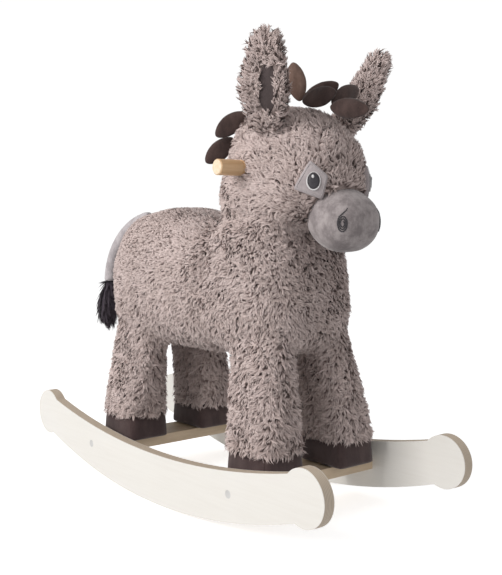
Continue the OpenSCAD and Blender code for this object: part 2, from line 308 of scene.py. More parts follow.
def join(pieces: Sequence[bpy.types.Object]) -> bpy.types.Object:
    """Joins several pieces into the first.

    Args:
        pieces: The pieces.

    Returns:
        The first piece, which now holds them all.
    """
    deselect()
    for piece in pieces:
        piece.select_set(True)
    bpy.context.view_layer.objects.active = pieces[0]
    bpy.ops.object.join()
    return pieces[0]


def remeshed(obj: bpy.types.Object, voxel: float, smooth: int) -> bpy.types.Object:
    """Gives a piece an even skin of small quads and softens its edges.

    Args:
        obj: The piece.
        voxel: The quads' size.
        smooth: How many times the skin is smoothed.

    Returns:
        The same piece.
    """
    finish_with(obj, "REMESH", mode="VOXEL", voxel_size=voxel)
    if smooth:
        finish_with(obj, "SMOOTH", factor=0.5, iterations=smooth)
    return obj


def stuff(obj: bpy.types.Object, cap: float, pressure: float = 4.0, frames: int = 20) -> None:
    """Blows a closed cover up as cloth, as its stuffing does, and keeps the result.

    Args:
        obj: The cover, already evenly meshed.
        cap: The furthest that a point may move.
        pressure: The pressure inside.
        frames: How long it settles.
    """
    before = points_of(obj)
    pick(obj)
    cloth = obj.modifiers.new("Stuffing", "CLOTH")
    cloth.settings.quality = 5
    cloth.settings.use_pressure = True
    cloth.settings.uniform_pressure_force = pressure
    cloth.settings.effector_weights.gravity = 0
    cloth.point_cache.frame_start = 1
    cloth.point_cache.frame_end = frames
    scene = bpy.context.scene
    for number in range(1, frames + 1):
        scene.frame_set(number)
    shaped = obj.evaluated_get(bpy.context.evaluated_depsgraph_get())
    flat = np.empty(len(before) * 3)
    shaped.data.vertices.foreach_get("co", flat)
    obj.modifiers.remove(cloth)
    scene.frame_set(1)
    step = flat.reshape(-1, 3) - before
    reach = np.linalg.norm(step, axis=1, keepdims=True)
    move_points(obj, before + step * np.minimum(1, cap / np.maximum(reach, 1e-9)))


def unit(vectors: Array) -> Array:
    """Returns vectors scaled to length one."""
    return vectors / np.maximum(np.linalg.norm(vectors, axis=-1, keepdims=True), 1e-12)


def ease(values: Array, start: float, end: float) -> Array:
    """Turns values into shares: 0 before start, 1 after end and a smooth turn between.

    Args:
        values: The values.
        start: Where the turn starts.
        end: Where it ends.

    Returns:
        The shares.
    """
    t = np.clip((values - start) / (end - start), 0, 1)
    return t * t * (3 - 2 * t)


def wander(points: Array, size: float, seed: int) -> Array:
    """Gives each point a smoothly varying vector, from a few crossed waves.

    Args:
        points: Where.
        size: How far apart two unlike vectors are.
        seed: Which waves.

    Returns:
        An (n, 3) array, about -1 to 1.
    """
    rng = np.random.default_rng(seed)
    total = np.zeros_like(points)
    for _ in range(9):
        wave = rng.normal(size=3)
        wave *= 2 * math.pi / (size * rng.uniform(1.5, 4) * np.linalg.norm(wave))
        total += np.sin((points @ wave)[:, None] + rng.uniform(0, 6.28, 3))
    return total / 3


def tube(
    name: str, path: Array, radius: Union[float, Array], closed: bool, sides: int = 8
) -> bpy.types.Object:
    """Makes a round thread along a path, closed at its ends.

    Args:
        name: The piece's name.
        path: The points it follows.
        radius: One radius, or one for each point.
        closed: Whether it joins its own start.
        sides: How many sides it has.

    Returns:
        The new piece.
    """
    path = np.asarray(path, float)
    count = len(path)
    radii = np.broadcast_to(np.asarray(radius, float), (count,))
    if closed:
        along = np.roll(path, -1, 0) - np.roll(path, 1, 0)
    else:
        along = np.gradient(path, axis=0)
    along = unit(along)
    lead = np.array([0.31, 0.17, 0.94])
    side = unit(np.cross(along, lead))
    over = np.cross(side, along)
    angle = np.arange(sides) * 2 * math.pi / sides
    ring = side[:, None] * np.cos(angle)[None, :, None] + over[:, None] * np.sin(angle)[None, :, None]
    points = (path[:, None] + ring * radii[:, None, None]).reshape(-1, 3)
    faces = []
    for i in range(count if closed else count - 1):
        j = (i + 1) % count
        for k in range(sides):
            m = (k + 1) % sides
            faces.append((i * sides + k, i * sides + m, j * sides + m, j * sides + k))
    if not closed:
        faces.append(tuple(range(sides)))
        faces.append(tuple(range((count - 1) * sides, count * sides)))
    return settle(outward(raw_mesh(name, points, faces)), name)


# ---------------------------------------------------------------------------------------------------------
# Shader maths


class Value:
    """A shader socket that can be used in Python arithmetic."""

    def __init__(self, shader: "Shader", socket: bpy.types.NodeSocket) -> None:
        """Wraps a socket.

        Args:
            shader: The shader it belongs to.
            socket: The output socket.
        """
        self.shader = shader
        self.socket = socket

    def _math(self, operation: str, a: "Number", b: "Number") -> "Value":
        """Returns the result of a Math node on two values."""
        return self.shader.node("ShaderNodeMath", {"operation": operation}, {0: a, 1: b})

    def __add__(self, other: "Number") -> "Value":
        """Returns the sum."""
        return self._math("ADD", self, other)

    __radd__ = __add__

    def __sub__(self, other: "Number") -> "Value":
        """Returns the difference."""
        return self._math("SUBTRACT", self, other)

    def __rsub__(self, other: "Number") -> "Value":
        """Returns the difference from a number."""
        return self._math("SUBTRACT", other, self)

    def __mul__(self, other: "Number") -> "Value":
        """Returns the product."""
        return self._math("MULTIPLY", self, other)

    __rmul__ = __mul__

    def __abs__(self) -> "Value":
        """Returns the size without the sign."""
        return self._math("ABSOLUTE", self, 0.0)


Number = Union[Value, float]


class Shader:
    """One material as it is mixed."""

    def __init__(self, name: str) -> None:
        """Starts a material with one Principled shader.

        Args:
            name: The material's name.
        """
        self.material = bpy.data.materials.new(name)
        self.material.use_nodes = True
        self.tree = self.material.node_tree
        self.tree.nodes.clear()
        self.surface = self.tree.nodes.new("ShaderNodeBsdfPrincipled")
        output = self.tree.nodes.new("ShaderNodeOutputMaterial")
        self.tree.links.new(self.surface.outputs[0], output.inputs[0])

    def node(
        self,
        kind: str,
        settings: Optional[dict] = None,
        sockets: Optional[dict] = None,
        out: Union[int, str] = 0,
    ) -> Value:
        """Adds any node.

        Args:
            kind: The node's type.
            settings: Its own settings; "stops" sets a ramp's places and colours.
            sockets: Values or links of its input sockets, by name or number.
            out: The output that is used.

        Returns:
            That output.
        """
        node = self.tree.nodes.new(kind)
        for key, value in (settings or {}).items():
            if key == "stops":
                ramp = node.color_ramp
                while len(ramp.elements) < len(value):
                    ramp.elements.new(1.0)
                for element, (place, colour) in zip(ramp.elements, value):
                    element.position = place
                    element.color = (*colour, 1.0)
            else:
                setattr(node, key, value)
        for key, value in (sockets or {}).items():
            self.feed(node.inputs[key], value)
        return Value(self, node.outputs[out])

    def feed(self, socket: bpy.types.NodeSocket, value: Union[Number, Sequence[float]]) -> None:
        """Links or sets an input socket.

        Args:
            socket: The input.
            value: An output to link, or a value.
        """
        if isinstance(value, Value):
            self.tree.links.new(value.socket, socket)
        elif isinstance(value, tuple) and len(value) == 3 and socket.type == "RGBA":
            socket.default_value = (*value, 1.0)
        else:
            socket.default_value = value

    def place(self) -> Value:
        """Returns the place on the piece."""
        return self.node("ShaderNodeTexCoord", out="Object")

    def axis(self, name: str) -> Value:
        """Returns one coordinate of the place: X, Y or Z."""
        return self.node("ShaderNodeSeparateXYZ", None, {0: self.place()}, name)

    def stretched(self, x: float, y: float, z: float) -> Value:
        """Returns the place, scaled along each axis."""
        return self.node("ShaderNodeMapping", None, {"Vector": self.place(), "Scale": (x, y, z)})

    def noise(self, at: Value, scale: float, detail: float = 2.0, rough: float = 0.5) -> Value:
        """Returns a noise's value.

        Args:
            at: Where it is read.
            scale: How fine it is.
            detail: How many octaves it has.
            rough: How strong the fine ones are.

        Returns:
            The noise, from 0 to 1.
        """
        sockets = {"Vector": at, "Scale": scale, "Detail": detail, "Roughness": rough}
        return self.node("ShaderNodeTexNoise", None, sockets, "Fac")

    def between(self, value: Number, low: float, high: float) -> Value:
        """Returns 0 below low, 1 above high and a smooth turn between."""
        settings = {"interpolation_type": "SMOOTHSTEP"}
        return self.node("ShaderNodeMapRange", settings, {"Value": value, "From Min": low, "From Max": high})

    def ramp(self, value: Number, *stops: tuple[float, Colour]) -> Value:
        """Returns a colour from a ramp of (place, colour) stops."""
        return self.node("ShaderNodeValToRGB", {"stops": stops}, {0: value})

    def mix(self, share: Number, a: Union[Value, Colour], b: Union[Value, Colour], how: str = "MIX") -> Value:
        """Mixes two colours.

        Args:
            share: How much of b.
            a: The first colour.
            b: The second colour.
            how: The Mix node's blend type.

        Returns:
            The mixed colour.
        """
        settings = {"data_type": "RGBA", "blend_type": how, "clamp_result": True}
        return self.node("ShaderNodeMix", settings, {0: share, 6: a, 7: b}, 2)

    def bump(self, height: Number, strength: float, depth: float) -> Value:
        """Returns a normal bent by a height.

        Args:
            height: The height, from 0 to 1.
            strength: How much of it shows.
            depth: Its real depth.

        Returns:
            The normal.
        """
        return self.node("ShaderNodeBump", None, {"Strength": strength, "Distance": depth, "Height": height})

    def close(self, **sockets: Union[Number, Sequence[float]]) -> bpy.types.Material:
        """Sets the Principled shader's sockets and ends the material.

        Args:
            sockets: Values or links, with _ for a space in a socket's name.

        Returns:
            The material.
        """
        for key, value in sockets.items():
            self.feed(self.surface.inputs[key.replace("_", " ")], value)
        return self.material


# ---------------------------------------------------------------------------------------------------------
# Finishes


@dataclass(frozen=True)
class RockerPly:
    """Satin white-washed plywood whose sawn edges show the bare plies.

    Attributes:
        wash: Colour of the painted faces.
        dark_ply: Colour of the plies across the grain.
        light_ply: Colour of the plies along the grain.
        middle: How far each board's middle is from X = 0.
        half: Half a board's thickness.
    """

    wash: Colour = (0.765, 0.74, 0.695)
    dark_ply: Colour = (0.36, 0.27, 0.19)
    light_ply: Colour = (0.62, 0.52, 0.41)
    middle: float = 0.1185
    half: float = 0.0075

    def make(self) -> bpy.types.Material:
        """Returns the material."""
        s = Shader("rocker_ply")
        depth = abs(s.axis("X")) - self.middle
        face = s.between(abs(depth), self.half - 0.0007, self.half - 0.0003)
        grain = s.noise(s.stretched(60, 3, 60), 4.0, 5.0, 0.6)
        cloud = s.noise(s.place(), 9.0, 3.0)
        wash = s.mix(s.between(grain, 0.35, 0.75) * 0.3, self.wash, (0.69, 0.655, 0.605))
        wash = s.mix(s.between(cloud, 0.45, 0.8) * 0.25, wash, (0.79, 0.78, 0.76))
        waver = s.noise(s.stretched(1, 14, 14), 6.0, 3.0)
        plies = s.node("ShaderNodeMath", {"operation": "SINE"}, {0: (depth + waver * 0.0006) * 2950.0})
        edge = s.mix(s.between(plies, -0.35, 0.35), self.dark_ply, self.light_ply)
        edge = s.mix(s.noise(s.stretched(900, 60, 60), 1.0, 3.0) * 0.45, edge, (0.70, 0.62, 0.52))
        colour = s.mix(face, edge, wash)
        fine = s.noise(s.stretched(1500, 40, 1500), 1.0, 3.0)
        height = grain * 0.5 + fine * 0.25 + s.between(plies, -0.3, 0.3) * (1 - face) * 0.4
        return s.close(
            Base_Color=colour,
            Roughness=0.62 - face * 0.2 + grain * 0.08,
            Normal=s.bump(height, 0.35, 0.0004),
            Coat_Weight=face * 0.15,
            Coat_Roughness=0.3,
        )


@dataclass(frozen=True)
class PlainTimber:
    """Clear-lacquered timber with its grain along one axis.

    Attributes:
        name: The material's name.
        pale: Colour of the early wood.
        deep: Colour of the late wood.
        grain: How much each axis is squeezed; small along the grain.
        end: Place along X past which the end grain shows.
        end_pale: Colour of the end faces, which keep the end grain's rings but are made paler as painted
            light.
    """

    name: str
    pale: Colour
    deep: Colour
    grain: tuple[float, float, float]
    end: float = 10.0
    end_pale: Colour = (0.80, 0.66, 0.50)

    def make(self) -> bpy.types.Material:
        """Returns the material."""
        s = Shader(self.name)
        x, y, z = self.grain
        bands = s.noise(s.stretched(x, y, z), 1.0, 4.0, 0.62)
        pores = s.noise(s.stretched(x * 6, y * 6, z * 6), 1.6, 3.0, 0.7)
        cloud = s.noise(s.place(), 14.0, 2.0)
        colour = s.mix(s.between(bands, 0.32, 0.68), self.pale, self.deep)
        colour = s.mix(s.between(pores, 0.58, 0.72) * 0.45, colour, tuple(c * 0.6 for c in self.deep))
        colour = s.mix(s.between(cloud, 0.4, 0.75) * 0.3, colour, tuple(min(1, c * 1.15) for c in self.pale))
        # Painted light: the end faces are made paler, while their rings are the end grain.
        tip = s.between(abs(s.axis("X")), self.end - 0.0002, self.end)
        rings = s.noise(s.stretched(1, 240, 240), 1.0, 2.0)
        colour = s.mix(tip, colour, s.mix(s.between(rings, 0.4, 0.6) * 0.35, self.end_pale, self.pale))
        return s.close(
            Base_Color=colour,
            Roughness=0.46 + pores * 0.2,
            Normal=s.bump(bands * 0.6 + pores * 0.4, 0.3, 0.0003),
            Coat_Weight=0.12,
            Coat_Roughness=0.35,
        )


@dataclass(frozen=True)
class ZincSteel:
    """Zinc-plated steel with a fine turned finish."""

    def make(self) -> bpy.types.Material:
        """Returns the material."""
        s = Shader("zinc_steel")
        blotch = s.noise(s.place(), 260.0, 3.0)
        scratch = s.noise(s.stretched(4000, 300, 300), 1.0, 2.0)
        return s.close(
            Base_Color=s.mix(s.between(blotch, 0.35, 0.65), (0.58, 0.59, 0.61), (0.74, 0.73, 0.70)),
            Metallic=1.0,
            Roughness=0.28 + blotch * 0.18,
            Normal=s.bump(scratch, 0.2, 0.0001),
        )


@dataclass(frozen=True)
class CapPlastic:
    """Matt white moulded plastic with a fine spark texture, painted grey all over as shade from its
    counterbore.
    """

    def make(self) -> bpy.types.Material:
        """Returns the material."""
        s = Shader("cap_plastic")
        spark = s.noise(s.place(), 2600.0, 2.0)
        shade = s.noise(s.place(), 300.0, 2.0)
        # Painted shade: the white caps are coloured grey to stand in for the shade in their counterbores.
        return s.close(
            Base_Color=s.mix(shade * 0.5, (0.60, 0.59, 0.58), (0.48, 0.47, 0.46)),
            Roughness=0.42 + spark * 0.15,
            Normal=s.bump(spark, 0.25, 0.0001),
        )


@dataclass(frozen=True)
class Pile:
    """Fur or yarn, coloured by the strands' own UV map, with painted shade towards the roots and painted
    light on the tips.

    Attributes:
        name: The material's name.
        root: Colour at the skin, darkened as painted shade at the pile's base.
        body: Colour half way up.
        tip: Colour at the ends, lightened as painted light on the tips.
        warm: Colour that some locks lean to.
        sheen: How much the tips catch light from the side.
    """

    name: str
    root: Colour
    body: Colour
    tip: Colour
    warm: Colour
    sheen: float = 0.25

    def make(self) -> bpy.types.Material:
        """Returns the material."""
        s = Shader(self.name)
        strand = s.node("ShaderNodeUVMap", {"uv_map": "strand"})
        split = {0: strand}
        tone = s.node("ShaderNodeSeparateXYZ", None, split, "X")
        height = s.node("ShaderNodeSeparateXYZ", None, split, "Y")
        # The ramp paints shade at the base of the pile and light on the tips.
        colour = s.ramp(height, (0.0, self.root), (0.34, self.body), (0.95, self.tip))
        patch = s.between(s.noise(s.place(), 22.0, 3.0, 0.6), 0.35, 0.7)
        colour = s.mix(patch * 0.35, colour, s.mix(height, self.root, self.warm))
        dim = s.mix(tone, (0.66, 0.63, 0.62), (1.0, 1.0, 1.0))
        colour = s.mix(1.0, colour, dim, "MULTIPLY")
        return s.close(
            Base_Color=colour,
            Roughness=0.78 - height * 0.14,
            Sheen_Weight=self.sheen,
            Sheen_Roughness=0.4,
            Specular_IOR_Level=0.25,
        )


@dataclass(frozen=True)
class Backing:
    """The knitted backing that the fur grows from.

    Attributes:
        name: The material's name.
        colour: Its colour.
    """

    name: str
    colour: Colour

    def make(self) -> bpy.types.Material:
        """Returns the material."""
        s = Shader(self.name)
        loops = s.node("ShaderNodeTexVoronoi", None, {"Vector": s.place(), "Scale": 520.0}, "Distance")
        cloud = s.noise(s.place(), 60.0, 3.0)
        deep = tuple(c * 0.7 for c in self.colour)
        return s.close(
            Base_Color=s.mix(s.between(cloud + loops * 0.4, 0.4, 0.9), deep, self.colour),
            Roughness=0.92,
            Normal=s.bump(loops, 0.6, 0.0006),
            Specular_IOR_Level=0.15,
        )


@dataclass(frozen=True)
class Suede:
    """Short-napped suede with brushed streaks and rubbed high spots.

    Attributes:
        name: The material's name.
        deep: Colour of the nap brushed away from the light.
        pale: Colour of the nap brushed towards it.
    """

    name: str
    deep: Colour
    pale: Colour

    def make(self) -> bpy.types.Material:
        """Returns the material."""
        s = Shader(self.name)
        brushed = s.noise(s.stretched(34, 34, 12), 1.0, 5.0, 0.62)
        nap = s.noise(s.place(), 900.0, 4.0, 0.7)
        specks = s.noise(s.place(), 240.0, 2.0)
        colour = s.mix(s.between(brushed, 0.36, 0.66), self.deep, self.pale)
        colour = s.mix(s.between(nap, 0.5, 0.8) * 0.5, colour, tuple(c * 1.6 for c in self.pale))
        colour = s.mix(s.between(specks, 0.6, 0.75) * 0.3, colour, tuple(c * 0.55 for c in self.deep))
        return s.close(
            Base_Color=colour,
            Roughness=0.86 + nap * 0.1,
            Normal=s.bump(nap * 0.6 + brushed * 0.4, 0.45, 0.0006),
            Sheen_Weight=0.25,
            Sheen_Roughness=0.5,
            Specular_IOR_Level=0.2,
        )


@dataclass(frozen=True)
class Velour:
    """Short-pile velour whose nap lies in pale and dark clouds.

    Attributes:
        name: The material's name.
        deep: Colour of the clouds.
        pale: Colour between them.
    """

    name: str
    deep: Colour
    pale: Colour

    def make(self) -> bpy.types.Material:
        """Returns the material."""
        s = Shader(self.name)
        cloud = s.noise(s.place(), 46.0, 5.0, 0.68)
        pile = s.noise(s.place(), 1300.0, 3.0, 0.7)
        streak = s.noise(s.stretched(320, 320, 90), 1.0, 3.0)
        colour = s.mix(s.between(cloud, 0.36, 0.64), self.deep, self.pale)
        colour = s.mix(s.between(pile, 0.45, 0.75) * 0.3, colour, tuple(c * 0.62 for c in self.deep))
        colour = s.mix(s.between(streak, 0.5, 0.8) * 0.25, colour, tuple(min(1, c * 1.3) for c in self.pale))
        return s.close(
            Base_Color=colour,
            Roughness=0.8 + cloud * 0.12,
            Normal=s.bump(pile * 0.7 + streak * 0.3, 0.45, 0.0005),
            Sheen_Weight=0.35,
            Sheen_Roughness=0.35,
            Specular_IOR_Level=0.2,
        )


@dataclass(frozen=True)
class Thread:
    """Satin-stitch embroidery thread.

    Attributes:
        name: The material's name.
        colour: Its colour.
        lift: Colour of the light catching single threads.
        slant: How much each axis is squeezed; the threads run along the least.
    """

    name: str
    colour: Colour
    lift: Colour
    slant: tuple[float, float, float] = (400, 400, 2600)

    def make(self) -> bpy.types.Material:
        """Returns the material."""
        s = Shader(self.name)
        threads = s.noise(s.stretched(*self.slant), 1.0, 2.0, 0.5)
        cloud = s.noise(s.place(), 150.0, 2.0)
        colour = s.mix(s.between(threads, 0.4, 0.7), self.colour, self.lift)
        return s.close(
            Base_Color=s.mix(cloud * 0.3, colour, self.colour),
            Roughness=0.45 + cloud * 0.15,
            Normal=s.bump(threads, 0.7, 0.0004),
            Sheen_Weight=0.15,
        )


BIRCH_PALE: Colour = (0.66, 0.52, 0.37)
BIRCH_DEEP: Colour = (0.50, 0.37, 0.24)
# The beech's end colour is paler as painted light on the end faces.
BEECH_LIT_END: Colour = (0.84, 0.70, 0.52)
FUR_WARM: Colour = (0.64, 0.52, 0.475)
YARN_WARM: Colour = (0.05, 0.035, 0.045)


def made(finish: object) -> bpy.types.Material:
    """Returns a field that makes a finish's material."""
    return field(default_factory=finish.make)


@dataclass
class Finishes:
    """Every finish, each made once."""

    rocker_ply: bpy.types.Material = made(RockerPly())
    slat_ply: bpy.types.Material = made(PlainTimber("slat_ply", BIRCH_PALE, BIRCH_DEEP, (9, 90, 60)))
    board_ply: bpy.types.Material = made(PlainTimber("board_ply", BIRCH_PALE, BIRCH_DEEP, (90, 9, 60)))
    pine: bpy.types.Material = made(
        PlainTimber("pine", (0.72, 0.55, 0.36), (0.52, 0.35, 0.19), (110, 110, 7))
    )
    beech: bpy.types.Material = made(
        PlainTimber("beech", (0.74, 0.50, 0.29), (0.60, 0.37, 0.19), (9, 170, 170), 0.1056, BEECH_LIT_END)
    )
    zinc: bpy.types.Material = made(ZincSteel())
    cap: bpy.types.Material = made(CapPlastic())
    # The fur's root colour is painted shade and its tip colour painted light.
    fur: bpy.types.Material = made(
        Pile("plush_fur", (0.235, 0.172, 0.158), (0.53, 0.425, 0.400), (0.77, 0.650, 0.622), FUR_WARM)
    )
    backing: bpy.types.Material = made(Backing("fur_backing", (0.33, 0.262, 0.245)))
    suede: bpy.types.Material = made(Suede("hoof_suede", (0.050, 0.030, 0.030), (0.082, 0.054, 0.052)))
    petal: bpy.types.Material = made(Suede("petal_suede", (0.038, 0.023, 0.021), (0.080, 0.050, 0.044)))
    tan_petal: bpy.types.Material = made(Suede("tan_suede", (0.115, 0.068, 0.052), (0.215, 0.140, 0.112)))
    lining: bpy.types.Material = made(Suede("lining_suede", (0.048, 0.035, 0.034), (0.078, 0.058, 0.058)))
    velour: bpy.types.Material = made(Velour("muzzle_velour", (0.225, 0.195, 0.196), (0.40, 0.355, 0.352)))
    patch: bpy.types.Material = made(Velour("patch_velour", (0.36, 0.315, 0.32), (0.46, 0.41, 0.415)))
    tube: bpy.types.Material = made(Velour("tail_velour", (0.40, 0.365, 0.375), (0.55, 0.51, 0.52)))
    dark_thread: bpy.types.Material = made(
        Thread("dark_thread", (0.012, 0.010, 0.014), (0.032, 0.026, 0.034))
    )
    pale_thread: bpy.types.Material = made(Thread("pale_thread", (0.62, 0.60, 0.60), (0.88, 0.87, 0.87)))
    grey_thread: bpy.types.Material = made(Thread("grey_thread", (0.42, 0.39, 0.39), (0.60, 0.57, 0.57)))
    # The yarn's root colour is painted shade and its tip colour painted light.
    yarn: bpy.types.Material = made(
        Pile("tail_yarn", (0.012, 0.009, 0.014), (0.040, 0.030, 0.042), (0.075, 0.060, 0.078), YARN_WARM, 0.4)
    )
    yarn_core: bpy.types.Material = made(Backing("tuft_core", (0.020, 0.016, 0.021)))


def dress(
    obj: bpy.types.Object, material: bpy.types.Material, body: Body, nodes: Iterable[str] = ()
) -> bpy.types.Object:
    """Gives a new piece its finish and its body.

    Args:
        obj: The piece.
        material: Its finish.
        body: The body it moves with.
        nodes: The frame nodes that it stands for.

    Returns:
        The same piece.
    """
    obj.data.materials.clear()
    obj.data.materials.append(material)
    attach(obj, body.value)
    for node in nodes:
        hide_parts(node)
    log.info("%s: %d faces", obj.name, len(obj.data.polygons))
    return obj


# ---------------------------------------------------------------------------------------------------------
# Fur


# A strand has two points at each of its first three steps and one at its tip, and so three faces: two with
# four corners and one with three.
STRAND_STEPS = (0.0, 0.38, 0.74, 1.0)
STRAND_POINTS = 7
STRAND_CORNERS = (0, 1, 3, 2, 2, 3, 5, 4, 4, 5, 6)
STRAND_FACES = (0, 4, 8)
# A fur piece holds no more strands than this, to stay a mesh of a reasonable size.
MOST_STRANDS = 38000


@dataclass(frozen=True)
class Locks:
    """How a pile's locks are made. The strands are the mesh's own, because hair objects aren't exported.

    Attributes:
        length: How long a strand is.
        density: How many locks stand on a square metre.
        strands: How many strands a lock has.
        spread: A lock's radius at its root.
        width: A strand's width at its middle.
        rise: How far a strand's tip stands off the skin, as a share of its length.
        lean: How far its tip lies along the flow, as a share of its length.
        gather: How much a lock's strands draw together at their tips.
        stray: How much neighbouring locks differ in direction.
        curl: How much a strand bends sideways.
        seed: Starts the random numbers.
    """

    length: float = 0.0125
    density: float = 112000
    strands: int = 5
    spread: float = 0.0020
    width: float = 0.00135
    rise: float = 0.50
    lean: float = 0.56
    gather: float = 0.50
    stray: float = 0.80
    curl: float = 0.30
    seed: int = 3

    def roots(self, skin: bpy.types.Object) -> tuple[Array, Array]:
        """Scatters lock roots evenly over a skin.

        Args:
            skin: The skin they stand on.

        Returns:
            The roots and the skin's outward directions there.
        """
        corners = triangles_of(skin)
        at = points_of(skin)
        normals = np.empty(len(at) * 3)
        skin.data.vertex_normals.foreach_get("vector", normals)
        normals = normals.reshape(-1, 3)
        a, b, c = (at[corners[:, i]] for i in range(3))
        area = np.linalg.norm(np.cross(b - a, c - a), axis=1) / 2
        rng = np.random.default_rng(self.seed)
        count = int(area.sum() * self.density)
        reach = (np.arange(count) + rng.uniform(0, 1, count)) / count * area.sum()
        chosen = np.clip(np.searchsorted(np.cumsum(area), reach), 0, len(area) - 1)
        u, v = rng.uniform(0, 1, (2, count, 1))
        fold = (u + v) > 1
        u, v = np.where(fold, 1 - u, u), np.where(fold, 1 - v, v)
        w = 1 - u - v
        a, b, c = (corners[chosen, i] for i in range(3))
        return w * at[a] + u * at[b] + v * at[c], unit(w * normals[a] + u * normals[b] + v * normals[c])

    def grow(self, roots: Array, out: Array, flow: Array, length: Array) -> tuple[Array, Array, Array]:
        """Grows every strand of every lock.

        Args:
            roots: The locks' roots.
            out: The skin's outward directions.
            flow: Where the pile lies towards.
            length: Each lock's length.

        Returns:
            The strands' points (n, 7, 3), their shading directions (n, 7, 3) and UVs (n, 7, 2).
        """
        rng = np.random.default_rng(self.seed + 1)
        count, strands = len(roots), self.strands
        flow = flow + self.stray * (wander(roots, 0.012, self.seed) * 0.75 + rng.normal(0, 0.45, (count, 3)))
        flow = unit(flow - out * np.sum(flow * out, 1, keepdims=True))
        across = np.cross(out, flow)
        n = count * strands
        each = np.repeat(np.arange(count), strands)
        angle = rng.uniform(0, 2 * math.pi, n)
        far = np.sqrt(rng.uniform(0, 1, n)) * self.spread
        offset = flow[each] * (np.cos(angle) * far)[:, None] + across[each] * (np.sin(angle) * far)[:, None]
        long = length[each] * rng.uniform(0.78, 1.08, n)
        rise = self.rise * rng.uniform(0.7, 1.3, count)[each]
        lean = self.lean * rng.uniform(0.75, 1.2, count)[each]
        bend = (rng.normal(0, 1, count)[each] * 0.8 + rng.normal(0, 0.5, n)) * self.curl
        middle = np.empty((n, len(STRAND_STEPS), 3))
        for i, t in enumerate(STRAND_STEPS):
            up = rise * (1.75 * t - 0.75 * t * t)
            along = lean * (0.35 * t + 0.65 * t * t)
            reach = out[each] * (up * long)[:, None] + flow[each] * (along * long)[:, None]
            reach += across[each] * (bend * t * t * long)[:, None]
            middle[:, i] = roots[each] + offset * (1 - self.gather * t) + reach
        along = unit(middle[:, 3] - middle[:, 0])
        side = unit(np.cross(along, out[each]))
        turn = rng.uniform(-0.9, 0.9, n)[:, None]
        side = side * np.cos(turn) + np.cross(along, side) * np.sin(turn)
        front = np.cross(side, along)
        half = self.width / 2 * rng.uniform(0.75, 1.25, n)[:, None]
        points = np.empty((n, STRAND_POINTS, 3))
        for i, broad in enumerate((0.8, 1.0, 0.72)):
            points[:, 2 * i] = middle[:, i] - side * half * broad
            points[:, 2 * i + 1] = middle[:, i] + side * half * broad
        points[:, 6] = middle[:, 3]
        puff = unit(out[each] * 0.9 + front * 0.5 + offset / self.spread * 0.3)
        shade = np.repeat(puff[:, None], STRAND_POINTS, 1)
        tone = np.clip(rng.normal(0.66, 0.15, count)[each] + rng.normal(0, 0.13, n), 0, 1)
        uv = np.empty((n, STRAND_POINTS, 2))
        uv[:, :, 0] = tone[:, None]
        uv[:, :, 1] = np.repeat(STRAND_STEPS, 2)[:STRAND_POINTS]
        return points, shade, uv


def strand_mesh(name: str, points: Array, shade: Array, uv: Array) -> bpy.types.Object:
    """Makes strands into one mesh, straight from arrays, because operators are too slow for so many faces.

    Args:
        name: The piece's name.
        points: The strands' points.
        shade: Their shading directions.
        uv: Their UVs.

    Returns:
        The new piece.
    """
    n = len(points)
    mesh = bpy.data.meshes.new(name)
    mesh.vertices.add(n * STRAND_POINTS)
    mesh.vertices.foreach_set("co", points.astype(np.float32).ravel())
    one, starts = np.array(STRAND_CORNERS), np.array(STRAND_FACES)
    corners = (np.arange(n)[:, None] * STRAND_POINTS + one[None]).ravel().astype(np.int32)
    mesh.loops.add(len(corners))
    mesh.loops.foreach_set("vertex_index", corners)
    mesh.polygons.add(n * len(starts))
    starts = (np.arange(n)[:, None] * len(one) + starts[None]).ravel().astype(np.int32)
    mesh.polygons.foreach_set("loop_start", starts)
    layer = mesh.uv_layers.new(name="strand")
    layer.uv.foreach_set("vector", uv.reshape(-1, 2)[corners].astype(np.float32).ravel())
    mesh.update(calc_edges=True)
    mesh.polygons.foreach_set("use_smooth", np.ones(len(starts), bool))
    mesh.normals_split_custom_set_from_vertices(shade.reshape(-1, 3).astype(np.float32))
    return added(name, mesh)


def fur_pieces(name: str, points: Array, shade: Array, uv: Array) -> list[bpy.types.Object]:
    """Splits strands into pieces of a size that a mesh may have.

    Args:
        name: The pieces' name.
        points: The strands' points.
        shade: Their shading directions.
        uv: Their UVs.

    Returns:
        The pieces.
    """
    parts = max(1, math.ceil(len(points) / MOST_STRANDS))
    pieces = []
    for i, chosen in enumerate(np.array_split(np.arange(len(points)), parts)):
        word = name if parts == 1 else f"{name}_{i + 1}"
        pieces.append(strand_mesh(word, points[chosen], shade[chosen], uv[chosen]))
    return pieces


# ---------------------------------------------------------------------------------------------------------
# The donkey's body


